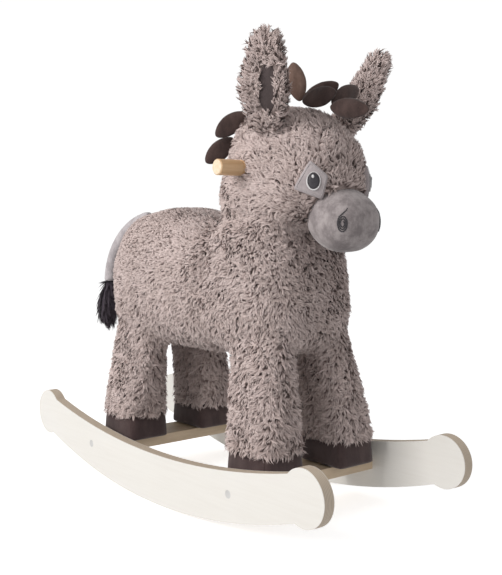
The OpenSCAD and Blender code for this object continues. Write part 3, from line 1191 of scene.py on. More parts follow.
@dataclass
class Pelt:
    """The stuffed pelt of the legs, trunk, neck and head, with its fur.

    Attributes:
        finishes: The finishes.
        voxel: Size of the skin's quads.
        inset: How deep the skin lies under the fur's tips.
        leg_bottom: Where the legs' skin meets the hooves.
        muzzle: Middle of the muzzle, which the face's fur runs away from.
        muzzle_r: How far from it the fur starts.
        handle: Middle of the handle.
        handle_r: How far from the handle's axis the fur starts.
        trunk: The nodes of the trunk, neck and head.
        legs: The nodes of the legs, in the order that region numbers them.
    """

    finishes: Finishes
    voxel: float = 0.006
    inset: float = 0.0070
    leg_bottom: float = 0.0942
    muzzle: Vector = field(default_factory=lambda: mm(0, -232, 377))
    muzzle_r: float = 0.0405
    handle: Vector = field(default_factory=lambda: mm(0, -118, 443))
    handle_r: float = 0.0135
    trunk: tuple[str, ...] = ("torso_plush", "neck_plush", "head_plush")
    legs: tuple[str, ...] = ("front_right_leg", "front_left_leg", "rear_right_leg", "rear_left_leg")

    def build_skin(self, frame: dict) -> bpy.types.Object:
        """Makes the skin that the fur stands on.


        Returns:
            The skin.
        """
        skin = join([hull_node(frame, node) for node in self.trunk + self.legs])
        remeshed(skin, self.voxel, smooth=7)
        finish_with(skin, "DISPLACE", strength=-self.inset, mid_level=0.0, direction="NORMAL")
        points = points_of(skin)
        lowest, start = points[:, 2].min(), 0.130
        low = points[:, 2] < start
        stretch = (start - self.leg_bottom) / (start - lowest)
        points[low, 2] = start - (start - points[low, 2]) * stretch
        move_points(skin, points)
        stuff(skin, cap=0.002, pressure=3.0, frames=12)
        return settle(skin, "pelt")

    def flow(self, at: Array) -> Array:
        """Says where the fur lies towards: away from the muzzle on the head, back and down elsewhere.

        Args:
            at: The locks' roots.

        Returns:
            The directions.
        """
        x, y, z = at.T
        face = ease(z, 0.345, 0.405) * ease(-y, 0.06, 0.12)
        away = unit(at - np.array(self.muzzle)) + np.array([0, 0.15, 0])
        back = ease(y, -0.06, 0.02) * ease(z, 0.20, 0.34)
        down = np.stack([x * 1.2, 0.12 + 1.3 * back, -1 + 0.5 * back], 1)
        return away * face[:, None] + down * (1 - face)[:, None]

    def lengths(self, at: Array, base: float) -> Array:
        """Says how long the fur is: short on the saddle and the rump, long and ragged down the legs.

        Args:
            at: The locks' roots.
            base: The usual length.

        Returns:
            The lengths.
        """
        y, z = at[:, 1], at[:, 2]
        saddle = ease(z, 0.285, 0.345) * ease(y, -0.03, 0.05)
        rump = ease(y, 0.13, 0.20) * ease(z, 0.25, 0.33)
        short = np.maximum(saddle, 0.8 * rump)
        legs = 1 - ease(z, 0.17, 0.25)
        ragged = 1 - ease(z, 0.10, 0.118)
        return base * (1 - 0.58 * short) * (1 + 0.20 * legs) * (1 + 0.15 * ragged)

    def furred(self, at: Array, out: Array) -> Array:
        """Says which locks are kept: none in the muzzle, under the patches, on the handle or on the soles.

        Args:
            at: The locks' roots.
            out: The skin's outward directions there.

        Returns:
            True for each lock that is kept.
        """
        x, y, z = at.T
        near = np.stack([x - np.clip(x, -0.006, 0.006), y - self.muzzle.y, z - self.muzzle.z], 1)
        keep = np.linalg.norm(near, axis=1) > self.muzzle_r
        grip = np.hypot(y - self.handle.y, z - self.handle.z)
        keep &= (grip > self.handle_r) | (np.abs(x) < 0.03)
        sole = (out[:, 2] < -0.6) & (z < 0.11)
        keep &= ~sole
        for side in Side:
            flat = FaceSpot(side).flat(at)
            inside = inside_outline(flat[:, :2], EyePatch.outline * 0.78)
            keep &= ~(inside & (flat[:, 2] > -0.03))
        return keep

    def build(self, frame: dict, locks: Locks) -> None:
        """Builds the skin and its fur.

        Args:
            locks: How the fur's locks are made.
        """
        skin = self.build_skin(frame)
        dress(skin, self.finishes.backing, Body.DONKEY, self.trunk + self.legs)
        at, out = locks.roots(skin)
        keep = self.furred(at, out)
        at, out = at[keep], out[keep]
        order = np.argsort(self.region(at) * 10.0 + at[:, 1], kind="stable")
        at, out = at[order], out[order]
        region = self.region(at)
        strands = locks.grow(at, out, self.flow(at), self.lengths(at, locks.length))
        owner = np.repeat(region, locks.strands)
        words = ("head", "neck", "trunk", *self.legs)
        for number, word in enumerate(words):
            chosen = owner == number
            for piece in fur_pieces("fur_" + word, *(part[chosen] for part in strands)):
                dress(piece, self.finishes.fur, Body.DONKEY)

    def region(self, at: Array) -> Array:
        """Numbers the part of the body that each root is on: head, neck, trunk, then the four legs."""
        x, y, z = at.T
        leg = 3 + 2 * (y > 0) + (x > 0)
        upper = np.where(z > 0.372, 0, 1)
        return np.where(z < 0.205, leg, np.where(y > -0.036, 2, upper))


def inside_outline(points: Array, outline: Array) -> Array:
    """Says which flat points lie inside a convex outline.

    Args:
        points: The points.
        outline: Its corners, in order either way round.

    Returns:
        True for each point inside.
    """
    ends = np.roll(outline, -1, 0)
    signs = []
    for a, b in zip(outline, ends):
        signs.append((b[0] - a[0]) * (points[:, 1] - a[1]) - (b[1] - a[1]) * (points[:, 0] - a[0]))
    signs = np.array(signs)
    return (signs > 0).all(0) | (signs < 0).all(0)


# ---------------------------------------------------------------------------------------------------------
# The face


@dataclass(frozen=True)
class FaceSpot:
    """A spot on the stuffed face with a flat frame of its own: across, up and outwards.

    Attributes:
        side: The donkey's side.
        spot: The spot on its left side.
        turn: How far it looks to the side, in degrees.
        ball: Radius of the stuffed ball under it.
    """

    side: Side
    spot: tuple[float, float, float] = (0.0466, -0.2277, 0.424)
    turn: float = 47.0
    ball: float = 0.062

    def axes(self) -> tuple[Array, Array, Array]:
        """Returns the across, up and outward directions on this side."""
        angle = math.radians(self.turn)
        across = np.array([math.cos(angle) * self.side.value, math.sin(angle), 0])
        outward_way = np.array([math.sin(angle) * self.side.value, -math.cos(angle), 0])
        return across, np.array([0, 0, 1.0]), outward_way

    def flat(self, points: Array) -> Array:
        """Returns points in the spot's own frame."""
        across, up, away = self.axes()
        near = points - np.array(self.spot) * (self.side.value, 1, 1)
        return np.stack([near @ across, near @ up, near @ away], 1)

    def on_ball(self, flat: Array, lift: Union[float, Array]) -> Array:
        """Puts flat points on the ball.

        Args:
            flat: Points across and up.
            lift: How far they stand off the ball.

        Returns:
            The points in the donkey's frame.
        """
        across, up, away = self.axes()
        deep = np.sqrt(np.maximum(self.ball**2 - (flat**2).sum(1), 1e-8)) - self.ball + lift
        origin = np.array(self.spot) * (self.side.value, 1, 1)
        return origin + flat[:, :1] * across + flat[:, 1:2] * up + deep[:, None] * away

    def pillow(
        self, name: str, outline: Array, crown: float, skirt: float, centre: tuple[float, float] = (0, 0)
    ) -> bpy.types.Object:
        """Makes a low closed pillow that follows the ball inside an outline.

        Args:
            name: The piece's name.
            outline: The outline's points, across and up.
            crown: How far its middle stands off the ball.
            skirt: How deep its sides reach into the ball.
            centre: Where its rings shrink to.

        Returns:
            The new piece.
        """
        middle = np.array(centre)
        shares = (1.0, 1.0, 0.975, 0.93, 0.82, 0.62, 0.38, 0.16)
        lifts = (-skirt, -crown * 0.3, crown * 0.25, crown * 0.6, crown * 0.85, crown, crown, crown)
        rings = [self.on_ball(middle + (outline - middle) * r, z) for r, z in zip(shares, lifts)]
        rings.append(self.on_ball(middle[None], crown))
        rings.append(self.on_ball(middle[None], -skirt))
        points = np.concatenate(rings)
        n = len(outline)
        faces = []
        for ring in range(len(shares) - 1):
            for i in range(n):
                j = (i + 1) % n
                faces.append((ring * n + i, ring * n + j, (ring + 1) * n + j, (ring + 1) * n + i))
        top, bottom = len(points) - 2, len(points) - 1
        last = (len(shares) - 1) * n
        faces += [(last + i, last + (i + 1) % n, top) for i in range(n)]
        faces += [(bottom, (i + 1) % n, i) for i in range(n)]
        return settle(outward(raw_mesh(name, points, faces)), name)


def run_of(path: Array) -> Array:
    """Returns how far along a path each of its points is."""
    return np.r_[0, np.cumsum(np.linalg.norm(np.diff(path, axis=0), axis=1))]


def read_at(path: Array, places: Array) -> Array:
    """Returns the points of a flat path at the given distances along it."""
    reach = run_of(path)
    return np.stack([np.interp(places, reach, path[:, i]) for i in range(2)], 1)


def rounded(corners: Array, radius: float, steps: int = 7, spacing: float = 0.0012) -> Array:
    """Rounds an outline's corners and spaces its points evenly.

    Args:
        corners: The corners.
        radius: How much of each side a corner takes.
        steps: Points on each corner.
        spacing: How far apart the points are.

    Returns:
        The outline's points.
    """
    path = []
    for before, corner, after in zip(np.roll(corners, 1, 0), corners, np.roll(corners, -1, 0)):
        start = corner + unit(before - corner) * radius
        end = corner + unit(after - corner) * radius
        for t in np.linspace(0, 1, steps):
            path.append((1 - t) ** 2 * start + 2 * t * (1 - t) * corner + t * t * end)
    path = np.array(path + path[:1])
    total = run_of(path)[-1]
    return read_at(path, np.linspace(0, total, int(total / spacing))[:-1])


def ellipse(wide: float, high: float, count: int = 48) -> Array:
    """Returns an ellipse's points from its two diameters."""
    angle = np.arange(count) * 2 * math.pi / count
    return np.stack([np.cos(angle) * wide / 2, np.sin(angle) * high / 2], 1)


def stitched(length: Array, stitch: float, radius: float) -> Array:
    """Says how thick a sewn thread is along its length, with a dip between two stitches.

    Args:
        length: How far along the thread.
        stitch: A stitch's length.
        radius: The thread's greatest radius.

    Returns:
        The radii.
    """
    dip = np.abs(np.cos(length * math.pi / stitch)) ** 6
    return radius * (1 - 0.55 * dip)


@dataclass
class EyePatch:
    """A kite of velour with a stitched outline and an embroidered eye.

    Attributes:
        finishes: The finishes.
        side: The donkey's side.
    """

    finishes: Finishes
    side: Side
    outline = np.array([[5, 25], [-17, 6], [-10, -22], [25, -9]]) / 1000

    def build(self) -> None:
        """Builds the patch, its stitches, the eye and its two pale threads."""
        spot, word = FaceSpot(self.side), self.side.word
        edge = rounded(self.outline, 0.004)
        patch = spot.pillow(f"{word}_patch", edge, 0.0012, 0.010)
        dress(patch, self.finishes.patch, Body.DONKEY, [f"{word}_eye_patch"])
        inner = rounded(self.outline * 0.86, 0.003, spacing=0.0006)
        seam = spot.on_ball(inner, 0.0015)
        thread = tube(f"{word}_patch_stitches", seam, stitched(run_of(seam), 0.0026, 0.00036), True, 6)
        dress(thread, self.finishes.grey_thread, Body.DONKEY)
        eye = spot.pillow(f"{word}_pupil", ellipse(0.0145, 0.0196), 0.0034, 0.001)
        dress(eye, self.finishes.dark_thread, Body.DONKEY, [f"{word}_eye"])
        angle = np.arange(72) * 2 * math.pi / 72
        ring = ellipse(0.0158, 0.0210, 72)
        thick = 0.00042 + 0.00052 * ease(np.cos(angle + math.radians(58)), -0.35, 0.8)
        rim = tube(f"{word}_eye_rim", spot.on_ball(ring, 0.0021), thick, True, 6)
        dress(rim, self.finishes.pale_thread, Body.DONKEY)
        shine = ellipse(0.0037, 0.0050, 20) + np.array([0.0008, 0.0052])
        glint = spot.pillow(f"{word}_eye_glint", shine, 0.0042, 0.0, (0.0008, 0.0052))
        dress(glint, self.finishes.pale_thread, Body.DONKEY)


@dataclass
class Muzzle:
    """The round velour muzzle with its two embroidered nostrils.

    Attributes:
        finishes: The finishes.
        voxel: Size of the cover's quads.
    """

    finishes: Finishes
    voxel: float = 0.0045

    def nostril_path(self) -> Array:
        """Returns the nostril's thread, from its stem round and inwards."""
        stem = np.array([[-5.4, 17.0], [-3.4, 13.8], [-0.4, 11.2], [2.4, 8.6]]) / 1000
        turn = np.linspace(math.radians(52), math.radians(52 - 1020), 150)
        share = np.linspace(0, 1, len(turn))
        wide = 0.0062 * (1 - 0.74 * share)
        high = 0.0104 * (1 - 0.72 * share)
        loop = np.stack([np.cos(turn) * wide, np.sin(turn) * high - 0.0008], 1)
        path = np.concatenate([stem, loop])
        return read_at(path, np.linspace(0, run_of(path)[-1], 260))

    def build(self, frame: dict) -> None:
        """Builds the muzzle and its nostrils.
        """
        cover = copy_node(frame, "muzzle")
        remeshed(cover, self.voxel, smooth=6)
        stuff(cover, cap=0.0016)
        finish_with(cover, "SUBSURF", levels=1, render_levels=1)
        settle(cover, "muzzle_cover")
        dress(cover, self.finishes.velour, Body.DONKEY, ["muzzle"])
        for side in Side:
            self.build_nostril(side, cover)

    def build_nostril(self, side: Side, cover: bpy.types.Object) -> None:
        """Embroiders one nostril on the muzzle.

        Args:
            side: The donkey's side.
            cover: The muzzle.
        """
        spot = FaceSpot(side, (0.0335, -0.2625, 0.375), 46.0, 0.044)
        thread = self.laid(spot, self.nostril_path(), cover, 0.0003)
        run = run_of(thread)
        radius = stitched(run, 0.0022, 0.00085) * (1 - 0.45 * ease(-run, -0.008, 0))
        piece = tube(f"{side.word}_nostril_thread", thread, radius, False, 6)
        dress(piece, self.finishes.dark_thread, Body.DONKEY, [f"{side.word}_nostril"])

    def laid(self, spot: FaceSpot, flat: Array, cover: bpy.types.Object, lift: float) -> Array:
        """Lays flat points on the muzzle's real cover.

        Args:
            spot: The spot's own frame.
            flat: The points.
            cover: The muzzle.
            lift: How far off the cover they lie.

        Returns:
            The points in the donkey's frame.
        """
        start = spot.on_ball(flat, 0.02)
        away = Vector(spot.axes()[2])
        points = []
        for point in start:
            found, at, normal, _ = cover.ray_cast(Vector(point), -away)
            points.append(at + normal * lift if found else Vector(point) - away * 0.02)
        return np.array([tuple(p) for p in points])


# ---------------------------------------------------------------------------------------------------------
# Ears, mane and tail


@dataclass
class Ear:
    """A cupped, stuffed ear with fur all round and a suede lining in its fold.

    Attributes:
        finishes: The finishes.
        side: The donkey's side.
        body: The body it moves with.
        lean: How far it leans to its side and to the front, in degrees.
        root: The middle of its root, on the left side.
        twist: How far it faces outwards, in degrees.
        cup: How far its edges curl to the front.
        slit: Where the lining shows: the middle across, half its width, its lowest and highest point.
        buried: The skin below this height is hidden in the head and has no fur.
    """

    finishes: Finishes
    side: Side
    body: Body
    lean: tuple[float, float]
    root: tuple[float, float, float] = (0.062, -0.158, 0.488)
    twist: float = 66.0
    cup: float = 0.007
    slit: tuple[float, float, float, float] = (-0.006, 0.0095, 0.024, 0.078)
    buried: float = -0.002

    def frame_matrix(self) -> Matrix:
        """Returns the ear's own frame on its side: X across, -Y to the front, Z to the tip."""
        out, front = self.lean
        turned = Matrix.Rotation(math.radians(out), 4, "Y") @ Matrix.Rotation(math.radians(front), 4, "X")
        placed = Matrix.Translation(self.root) @ turned @ Matrix.Rotation(math.radians(self.twist), 4, "Z")
        return Matrix.Diagonal((self.side.value, 1, 1, 1)) @ placed

    def curled(self, points: Array) -> Array:
        """Curls the ear's edges to the front.

        Args:
            points: Its points, in its own frame.

        Returns:
            The curled points.
        """
        bent = points.copy()
        grip = ease(bent[:, 2], 0.0, 0.03)
        bent[:, 1] -= self.cup * (bent[:, 0] / 0.028) ** 2 * grip
        return bent

    def build(self, frame: dict, locks: Locks) -> None:
        """Builds the ear's skin, lining and fur.

        Args:
            locks: How the fur's locks are made.
        """
        word, placed = self.side.word, self.frame_matrix()
        home = placed.inverted()
        skin = hull_node(frame, f"{word}_ear")
        remeshed(skin, voxel=0.0035, smooth=9)
        finish_with(skin, "DISPLACE", strength=-0.0010, mid_level=0.0, direction="NORMAL")
        move_points(skin, moved(self.curled(moved(points_of(skin), home)), placed))
        stuff(skin, cap=0.0015, pressure=3.0, frames=12)
        settle(outward(skin), f"{word}_ear_skin")
        dress(skin, self.finishes.backing, self.body, [f"{word}_ear"])
        self.build_lining(skin, home, placed)
        at, out = locks.roots(skin)
        own = moved(at, home)
        across, back, tip = np.array(placed)[:3, :3].T
        middle, half, low, high = self.slit
        aside = np.abs(own[:, 0] - middle)
        bare = (out @ back < 0) & (aside < half * 1.02) & (own[:, 2] > low) & (own[:, 2] < high)
        keep = ~bare & (own[:, 2] >= self.buried)
        at, out, own, aside = at[keep], out[keep], own[keep], aside[keep]
        flow = tip[None] * 0.9 + across[None] * own[:, :1] * 22 + out * 0.2
        front = (out @ back < -0.2) & (aside < 0.03)
        length = locks.length * np.where(front, 0.72, 0.85) * (1 + 0.25 * ease(own[:, 2], 0.085, 0.11))
        strands = locks.grow(at, out, flow, length)
        for piece in fur_pieces(f"fur_{word}_ear", *strands):
            dress(piece, self.finishes.fur, self.body)

    def build_lining(self, skin: bpy.types.Object, home: Matrix, placed: Matrix) -> None:
        """Builds the suede lining as a low pillow on the ear's front.

        Args:
            skin: The ear's skin, which it lies on.
            home: From the donkey's frame to the ear's. Not used.
            placed: The other way.
        """
        middle, half, low, high = self.slit
        rows, columns = 22, 12
        up = np.linspace(low - 0.006, high + 0.003, rows)
        share = np.linspace(-1, 1, columns)
        mid = (low + high) / 2
        tall = (high - low) / 2 + 0.006
        wide = (half + 0.004) * np.clip(1 - np.abs((up - mid) / tall) ** 1.8, 0.02, 1) ** 0.8
        grid = np.empty((rows, columns, 3))
        way = Vector(np.array(placed)[:3, 1])
        for i in range(rows):
            for j in range(columns):
                start = placed @ Vector((middle + share[j] * wide[i], -0.06, up[i]))
                found, at, _, _ = skin.ray_cast(start, way)
                grid[i, j] = tuple(at if found else placed @ Vector((middle + share[j] * wide[i], 0, up[i])))
        shape = 0.0011 * (1 - share[None, :] ** 2) + 0.0002
        front = grid - np.array(way)[None, None] * shape[..., None]
        back = grid + np.array(way)[None, None] * 0.0012
        points = np.concatenate([front.reshape(-1, 3), back.reshape(-1, 3)])
        faces, total = [], rows * columns
        for i in range(rows - 1):
            for j in range(columns - 1):
                a = i * columns + j
                faces.append((a, a + 1, a + columns + 1, a + columns))
                faces.append((total + a, total + a + columns, total + a + columns + 1, total + a + 1))
        rim = list(range(columns))
        rim += [i * columns + columns - 1 for i in range(1, rows)]
        rim += [(rows - 1) * columns + j for j in range(columns - 2, -1, -1)]
        rim += [i * columns for i in range(rows - 2, 0, -1)]
        for a, b in zip(rim, rim[1:] + rim[:1]):
            faces.append((b, a, total + a, total + b))
        word = self.side.word
        name = f"{word}_ear_suede"
        lining = settle(outward(raw_mesh(name, points, faces)), name)
        dress(lining, self.finishes.lining, self.body, [f"{word}_ear_lining"])


@dataclass(frozen=True)
class Petal:
    """One pointed suede petal, sewn from two leaves and lightly filled.

    Attributes:
        root: Where it is sewn on.
        reach: Where it points.
        length: Its length.
        width: Its greatest width.
        thick: Its greatest thickness.
        curl: How far its tip bends over.
    """

    root: tuple[float, float, float]
    reach: tuple[float, float, float]
    length: float = 0.050
    width: float = 0.026
    thick: float = 0.0075
    curl: float = 0.004

    def build(self, name: str, hang: float) -> bpy.types.Object:
        """Builds the petal.

        Args:
            name: The piece's name.
            hang: Which way its tip bends, 1 or -1.

        Returns:
            The new piece.
        """
        deselect()
        bpy.ops.mesh.primitive_uv_sphere_add(segments=28, ring_count=22, radius=1.0)
        piece = bpy.context.object
        ball = points_of(piece)
        x, y, z = ball.T
        up = (z + 1) / 2
        flat = np.hypot(x, y)
        share = np.divide(x, np.maximum(flat, 1e-9))
        leaf = np.sin(np.clip(up, 0, 1) * math.pi) ** 0.55
        across = share * leaf * self.width / 2 * np.where(flat > 1e-6, 1, 0)
        puff = np.sign(y) * (1 - np.abs(share) ** 2.4) ** 0.75 * leaf**0.8 * self.thick / 2
        puff += np.sign(y) * 0.0005
        bend = hang * self.curl * up**2
        crease = 0.0006 * np.sin(up * 9 + share * 3)
        shaped = np.stack([across, puff + bend + crease * leaf, up * self.length], 1)
        way = Vector(self.reach)
        tilt = Matrix.Rotation(math.acos(way.z / way.length), 4, "Y")
        turn = Matrix.Rotation(math.atan2(way.y, way.x), 4, "Z")
        move_points(piece, moved(shaped, Matrix.Translation(mm(*self.root)) @ turn @ tilt))
        return settle(outward(piece), name)


@dataclass
class Mane:
    """The mane down the neck and the forelock over the poll, all of suede petals.

    Attributes:
        finishes: The finishes.
        neck: The neck's petals.
        poll: The forelock's petals.
        tan: The one petal of a paler suede.
    """

    finishes: Finishes
    neck: tuple[Petal, ...] = (
        Petal((-12, -58, 520), (-24, 20, -24)),
        Petal((-13, -34, 488), (-27, 21, -30)),
        Petal((-10, -34, 444), (-9, 6, -33)),
        Petal((10, -60, 513), (23, 17, -27)),
        Petal((9, -44, 484), (22, 16, -33)),
        Petal((10, -34, 440), (12, 8, -30)),
    )
    poll: tuple[Petal, ...] = tuple(
        Petal(root, reach, width=0.0245)
        for root, reach in (
            ((-1, -158, 525), (34, -28, 22)),
            ((3, -206, 520), (37, -4, 17)),
            ((-10, -168, 524), (12, -40, 7)),
            ((-5, -212, 514), (12, -38, -5)),
            ((6, -146, 528), (-6, 5, 42)),
            ((1, -112, 530), (30, 14, 26)),
        )
    )
    tan: str = "forelock_petal_5"

    def build(self) -> None:
        """Builds every petal."""
        for group, petals in (("mane", self.neck), ("forelock", self.poll)):
            for number, petal in enumerate(petals):
                piece = petal.build(f"{group}_petal_{number + 1}", 1 if number % 2 else -1)
                finish = self.finishes.tan_petal if piece.name == self.tan else self.finishes.petal
                nodes = [f"{group}_petals"] if number == 0 else []
                dress(piece, finish, Body.DONKEY, nodes)


@dataclass
class Tail:
    """The stuffed velour tail and its dark tuft.

    Attributes:
        finishes: The finishes.
        root: Where the tail leaves the rump.
        turn: How far it is turned to the right, in degrees.
        arc: Radius of its arc.
        start: The arc's first angle, in degrees.
        end: The arc's last angle, in degrees.
        seam_in: How far inside the arc its seam runs.
    """

    finishes: Finishes
    root: tuple[float, float, float] = (0.0, 0.192, 0.382)
    turn: float = 12.0
    arc: float = 0.108
    start: float = 82.0
    end: float = 2.0
    seam_in: float = 0.0102

    def at(self, points: Array) -> Array:
        """Puts points of the tail's own plane, centred on its arc, in the donkey's frame.

        Args:
            points: The points, with X along the plane and Z up.

        Returns:
            The points in the donkey's frame.
        """
        first = math.radians(self.start)
        moved = points - np.array([self.arc * math.cos(first), 0, self.arc * math.sin(first)])
        angle = math.radians(90 + self.turn)
        x = moved[:, 0] * math.cos(angle) - moved[:, 1] * math.sin(angle)
        y = moved[:, 0] * math.sin(angle) + moved[:, 1] * math.cos(angle)
        return np.stack([x, y, moved[:, 2]], 1) + np.array(self.root)

    def build(self, frame: dict) -> None:
        """Builds the tube and the tuft.
        """
        cover = copy_node(frame, "tail_tube")
        remeshed(cover, voxel=0.0035, smooth=4)
        stuff(cover, cap=0.0012, pressure=3.0, frames=12)
        finish_with(cover, "SUBSURF", levels=1, render_levels=1)
        settle(cover, "tail_cover")
        dress(cover, self.finishes.tube, Body.TAIL, ["tail_tube"])
        angle = np.radians(np.linspace(self.start + 4, self.end, 60))
        reach = self.arc - self.seam_in
        seam = self.at(np.stack([np.cos(angle) * reach, angle * 0, np.sin(angle) * reach], 1))
        thread = tube("tail_seam", seam, stitched(run_of(seam), 0.003, 0.0005), False, 6)
        dress(thread, self.finishes.tube, Body.TAIL)
        self.build_tuft()

    def build_tuft(self) -> None:
        """Builds the tuft: a slim core and locks that hang round it."""
        last = math.radians(self.end)
        top = np.array([self.arc * math.cos(last), 0, self.arc * math.sin(last) - 0.0008])
        rows = np.linspace(0, 1, 16)
        spine = top + np.stack([0.006 * np.sin(rows * 2.4), rows * 0, -0.058 * rows], 1)
        core = tube("tuft_core", self.at(spine), 0.0050 + 0.0055 * np.sin(rows * math.pi * 0.92), False, 14)
        dress(core, self.finishes.yarn_core, Body.TUFT, ["tail_tuft"])
        locks = Locks(
            length=0.034, density=95000, strands=9, spread=0.0030, width=0.0020, rise=0.10, lean=0.98,
            gather=0.9, stray=0.16, curl=0.10, seed=21,
        )
        at, out = locks.roots(core)
        low = at[:, 2].min()
        share = (at[:, 2] - low) / (at[:, 2].max() - low)
        length = locks.length * (0.62 + 0.38 * np.sin(share * 3.1))
        rng = np.random.default_rng(5)
        length *= rng.uniform(0.75, 1.1, len(length))
        strands = locks.grow(at, out, np.tile([0.0, 0.02, -1.0], (len(at), 1)), length)
        for piece in fur_pieces("tuft_locks", *strands):
            dress(piece, self.finishes.yarn, Body.TUFT)


# ---------------------------------------------------------------------------------------------------------
# Hooves and woodwork


@dataclass
class Hooves:
    """Four stuffed suede hooves with a seam down each front corner.

    Attributes:
        finishes: The finishes.
        half_w: Half a hoof's width. Not used.
        half_l: Half its length. Not used.
        names: The hooves' nodes.
    """

    finishes: Finishes
    half_w: float = 0.034
    half_l: float = 0.043
    names: tuple[str, ...] = ("front_right_hoof", "front_left_hoof", "rear_right_hoof", "rear_left_hoof")

    def build(self, frame: dict) -> None:
        """Builds the hooves and their seams.
        """
        for node in self.names:
            low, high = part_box(node)
            cover = hull_node(frame, node)
            remeshed(cover, voxel=0.004, smooth=3)
            stuff(cover, cap=0.0022)
            points = points_of(cover)
            points[:, 2] = np.clip(points[:, 2], low.z, high.z)
            points[:, 2] += 0.0004 * ease(-points[:, 2], -low.z - 0.0004, -low.z)
            move_points(cover, points)
            finish_with(cover, "SUBSURF", levels=1, render_levels=1)
            settle(cover, node + "_cover")
            dress(cover, self.finishes.suede, Body.DONKEY, [node])
            self.build_seams(node, cover, low, high)

    def build_seams(self, node: str, cover: bpy.types.Object, low: Vector, high: Vector) -> None:
        """Lays a sunk seam down both front corners of a hoof.

        Args:
            node: The hoof's node.
            cover: The hoof's cover.
            low: The node's lowest corner.
            high: Its highest corner.
        """
        middle = (low + high) / 2
        for side in Side:
            path = []
            for z in np.linspace(low.z + 0.0015, high.z - 0.001, 16):
                start = Vector((middle.x + side.value * 0.055, low.y - 0.018, z))
                aim = Vector((middle.x + side.value * 0.012, low.y + 0.028, z)) - start
                found, at, normal, _ = cover.ray_cast(start, aim.normalized())
                if found:
                    path.append(tuple(at - normal * 0.0001))
            if len(path) > 3:
                line = np.array(path)
                radius = stitched(run_of(line), 0.0024, 0.00055)
                seam = tube(f"{node}_{side.word}_seam", line, radius, closed=False, sides=6)
                dress(seam, self.finishes.petal, Body.DONKEY)


@dataclass
class Woodwork:
    """Finishes for the rockers, slats, inner frame, handle and fastenings, which keep the frame's shapes.

    Attributes:
        finishes: The finishes.
    """

    finishes: Finishes

    def dress(self, frame: dict) -> None:
        """Gives every wooden and metal node its finish.
        """
        kinds = {
            "rocker_ply": ("right_rocker", "left_rocker"),
            "slat_ply": ("front_slat", "rear_slat"),
            "board_ply": ("seat_board",),
            "pine": ("front_right_post", "front_left_post", "rear_right_post", "rear_left_post", "neck_post"),
            "beech": ("handle_dowel", "locating_dowels"),
            "cap": ("bolt_caps",),
            "zinc": (
                "rocker_bolts", "barrel_nuts", "post_screws", "board_screws", "neck_screws", "handle_screw",
            ),
        }
        for finish, nodes in kinds.items():
            for node in nodes:
                obj = frame["nodes"][node]
                obj.data.materials.clear()
                obj.data.materials.append(getattr(self.finishes, finish))
                log.info("%s: %s", node, finish)


# ---------------------------------------------------------------------------------------------------------
# Studio


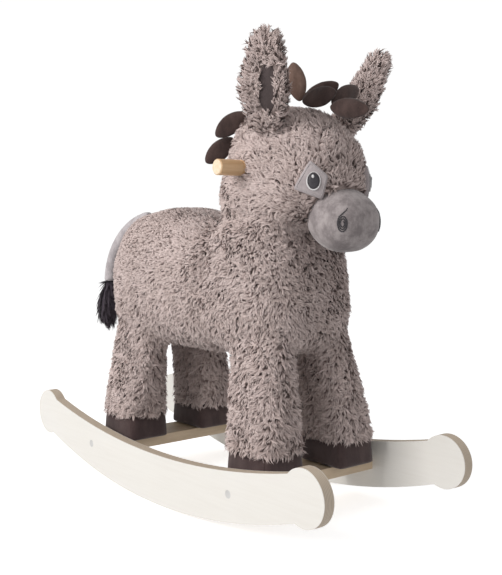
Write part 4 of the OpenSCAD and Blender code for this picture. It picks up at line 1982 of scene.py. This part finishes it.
@dataclass(frozen=True)
class Studio:
    """A pale floor, soft light and the camera.

    Attributes:
        eye: Where the camera is.
        aim: What it looks at.
        lens: Its focal length in millimetres.
        roll: How far it is turned about its view, in radians.
        lit_z: Height of the point that the lamps look at.
        surround: Strength of the white surroundings.
    """

    eye: tuple[float, float, float] = (-0.7940, -1.0244, 0.3821)
    aim: tuple[float, float, float] = (0.0, -0.05441, 0.28650)
    lens: float = 57.95
    roll: float = -0.002
    lit_z: float = 0.25
    surround: float = 0.50

    def build(self) -> None:
        """Builds the camera, the floor, the backdrop and the lights."""
        self.build_camera()
        self.build_floor()
        self.build_backdrop()
        self.build_lights()

    def build_camera(self) -> None:
        """Places the camera."""
        data = bpy.data.cameras.new("camera")
        camera = added("camera", data)
        data.sensor_width, data.lens = 36.0, self.lens
        data.clip_start, data.clip_end = 0.01, 50.0
        way = looking(Vector(self.aim) - Vector(self.eye))
        camera.matrix_world = Matrix.Translation(self.eye) @ way @ Matrix.Rotation(self.roll, 4, "Z")
        bpy.context.scene.camera = camera

    def build_floor(self) -> None:
        """Lays the pale floor."""
        deselect()
        bpy.ops.mesh.primitive_circle_add(vertices=64, radius=4.0, fill_type="NGON", location=(0, 0, -0.0004))
        floor = settle(bpy.context.object, "floor")
        s = Shader("pale_floor")
        speck = s.noise(s.place(), 3.0, 2.0)
        white = s.mix(speck * 0.4, (0.92, 0.92, 0.92), (0.95, 0.95, 0.95))
        floor.data.materials.append(
            s.close(Base_Color=white, Roughness=0.9, Emission_Color=white, Emission_Strength=0.66)
        )
        floor.visible_diffuse = False

    def build_backdrop(self) -> None:
        """Hangs a plain white backdrop all round that only the camera sees, so that it adds no light."""
        deselect()
        bpy.ops.mesh.primitive_uv_sphere_add(segments=48, ring_count=24, radius=6.0)
        backdrop = settle(bpy.context.object, "backdrop")
        s = Shader("white_backdrop")
        speck = s.noise(s.place(), 2.0, 2.0)
        white = s.mix(speck * 0.02, (1.0, 1.0, 1.0), (0.98, 0.98, 0.98))
        backdrop.data.materials.append(
            s.close(Base_Color=(0.0, 0.0, 0.0), Roughness=1.0, Emission_Color=white, Emission_Strength=1.02)
        )
        for ray in ("diffuse", "glossy", "transmission", "volume_scatter", "shadow"):
            setattr(backdrop, "visible_" + ray, False)

    def lamp(self, name: str, at: Vector, size: float, watts: float, colour: Colour) -> None:
        """Adds a soft square lamp that looks at the donkey.

        Args:
            name: Its name.
            at: Where it is.
            size: Its side.
            watts: Its power.
            colour: Its colour.
        """
        data = bpy.data.lights.new(name, "AREA")
        data.size, data.energy, data.color = size, watts, colour
        lamp = added(name, data)
        lamp.matrix_world = Matrix.Translation(at) @ looking(Vector((0, 0, self.lit_z)) - at)

    def build_lights(self) -> None:
        """Hangs the lamps and sets the white surroundings."""
        self.lamp("key_lamp", Vector((-2.1, 0.15, 1.25)), 1.1, 41.0, (1.0, 0.985, 0.97))
        self.lamp("front_lamp", Vector((-0.9, -2.3, 1.1)), 1.4, 3.5, (1.0, 0.99, 0.98))
        world = bpy.data.worlds.new("surroundings")
        world.use_nodes = True
        white = world.node_tree.nodes["Background"]
        white.inputs["Color"].default_value = (1.0, 1.0, 1.0, 1.0)
        white.inputs["Strength"].default_value = self.surround
        bpy.context.scene.world = world
        bpy.context.scene.view_settings.view_transform = "Standard"


def corners(bounds: tuple[Vector, Vector]) -> list[list[float]]:
    """Returns a box's two corners as plain lists."""
    return [[float(v) for v in corner] for corner in bounds]


def main() -> None:
    """Builds the scene in order."""
    logging.basicConfig(level=logging.INFO, format="%(name)s: %(message)s")
    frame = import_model()
    deselect()
    Studio().build()
    finishes = Finishes()
    Woodwork(finishes).dress(frame)
    Hooves(finishes).build(frame)
    Muzzle(finishes).build(frame)
    for side in Side:
        EyePatch(finishes, side).build()
    fur = Locks()
    Pelt(finishes).build(frame, fur)
    ear_fur = Locks(length=0.0150, density=115000, seed=11)
    Ear(finishes, Side.RIGHT, Body.RIGHT_EAR, (11.0, 14.0)).build(frame, ear_fur)
    Ear(finishes, Side.LEFT, Body.LEFT_EAR, (22.0, 20.0), twist=84.0).build(frame, ear_fur)
    Mane(finishes).build()
    Tail(finishes).build(frame)
    deselect()


if __name__ == "__main__":
    main()
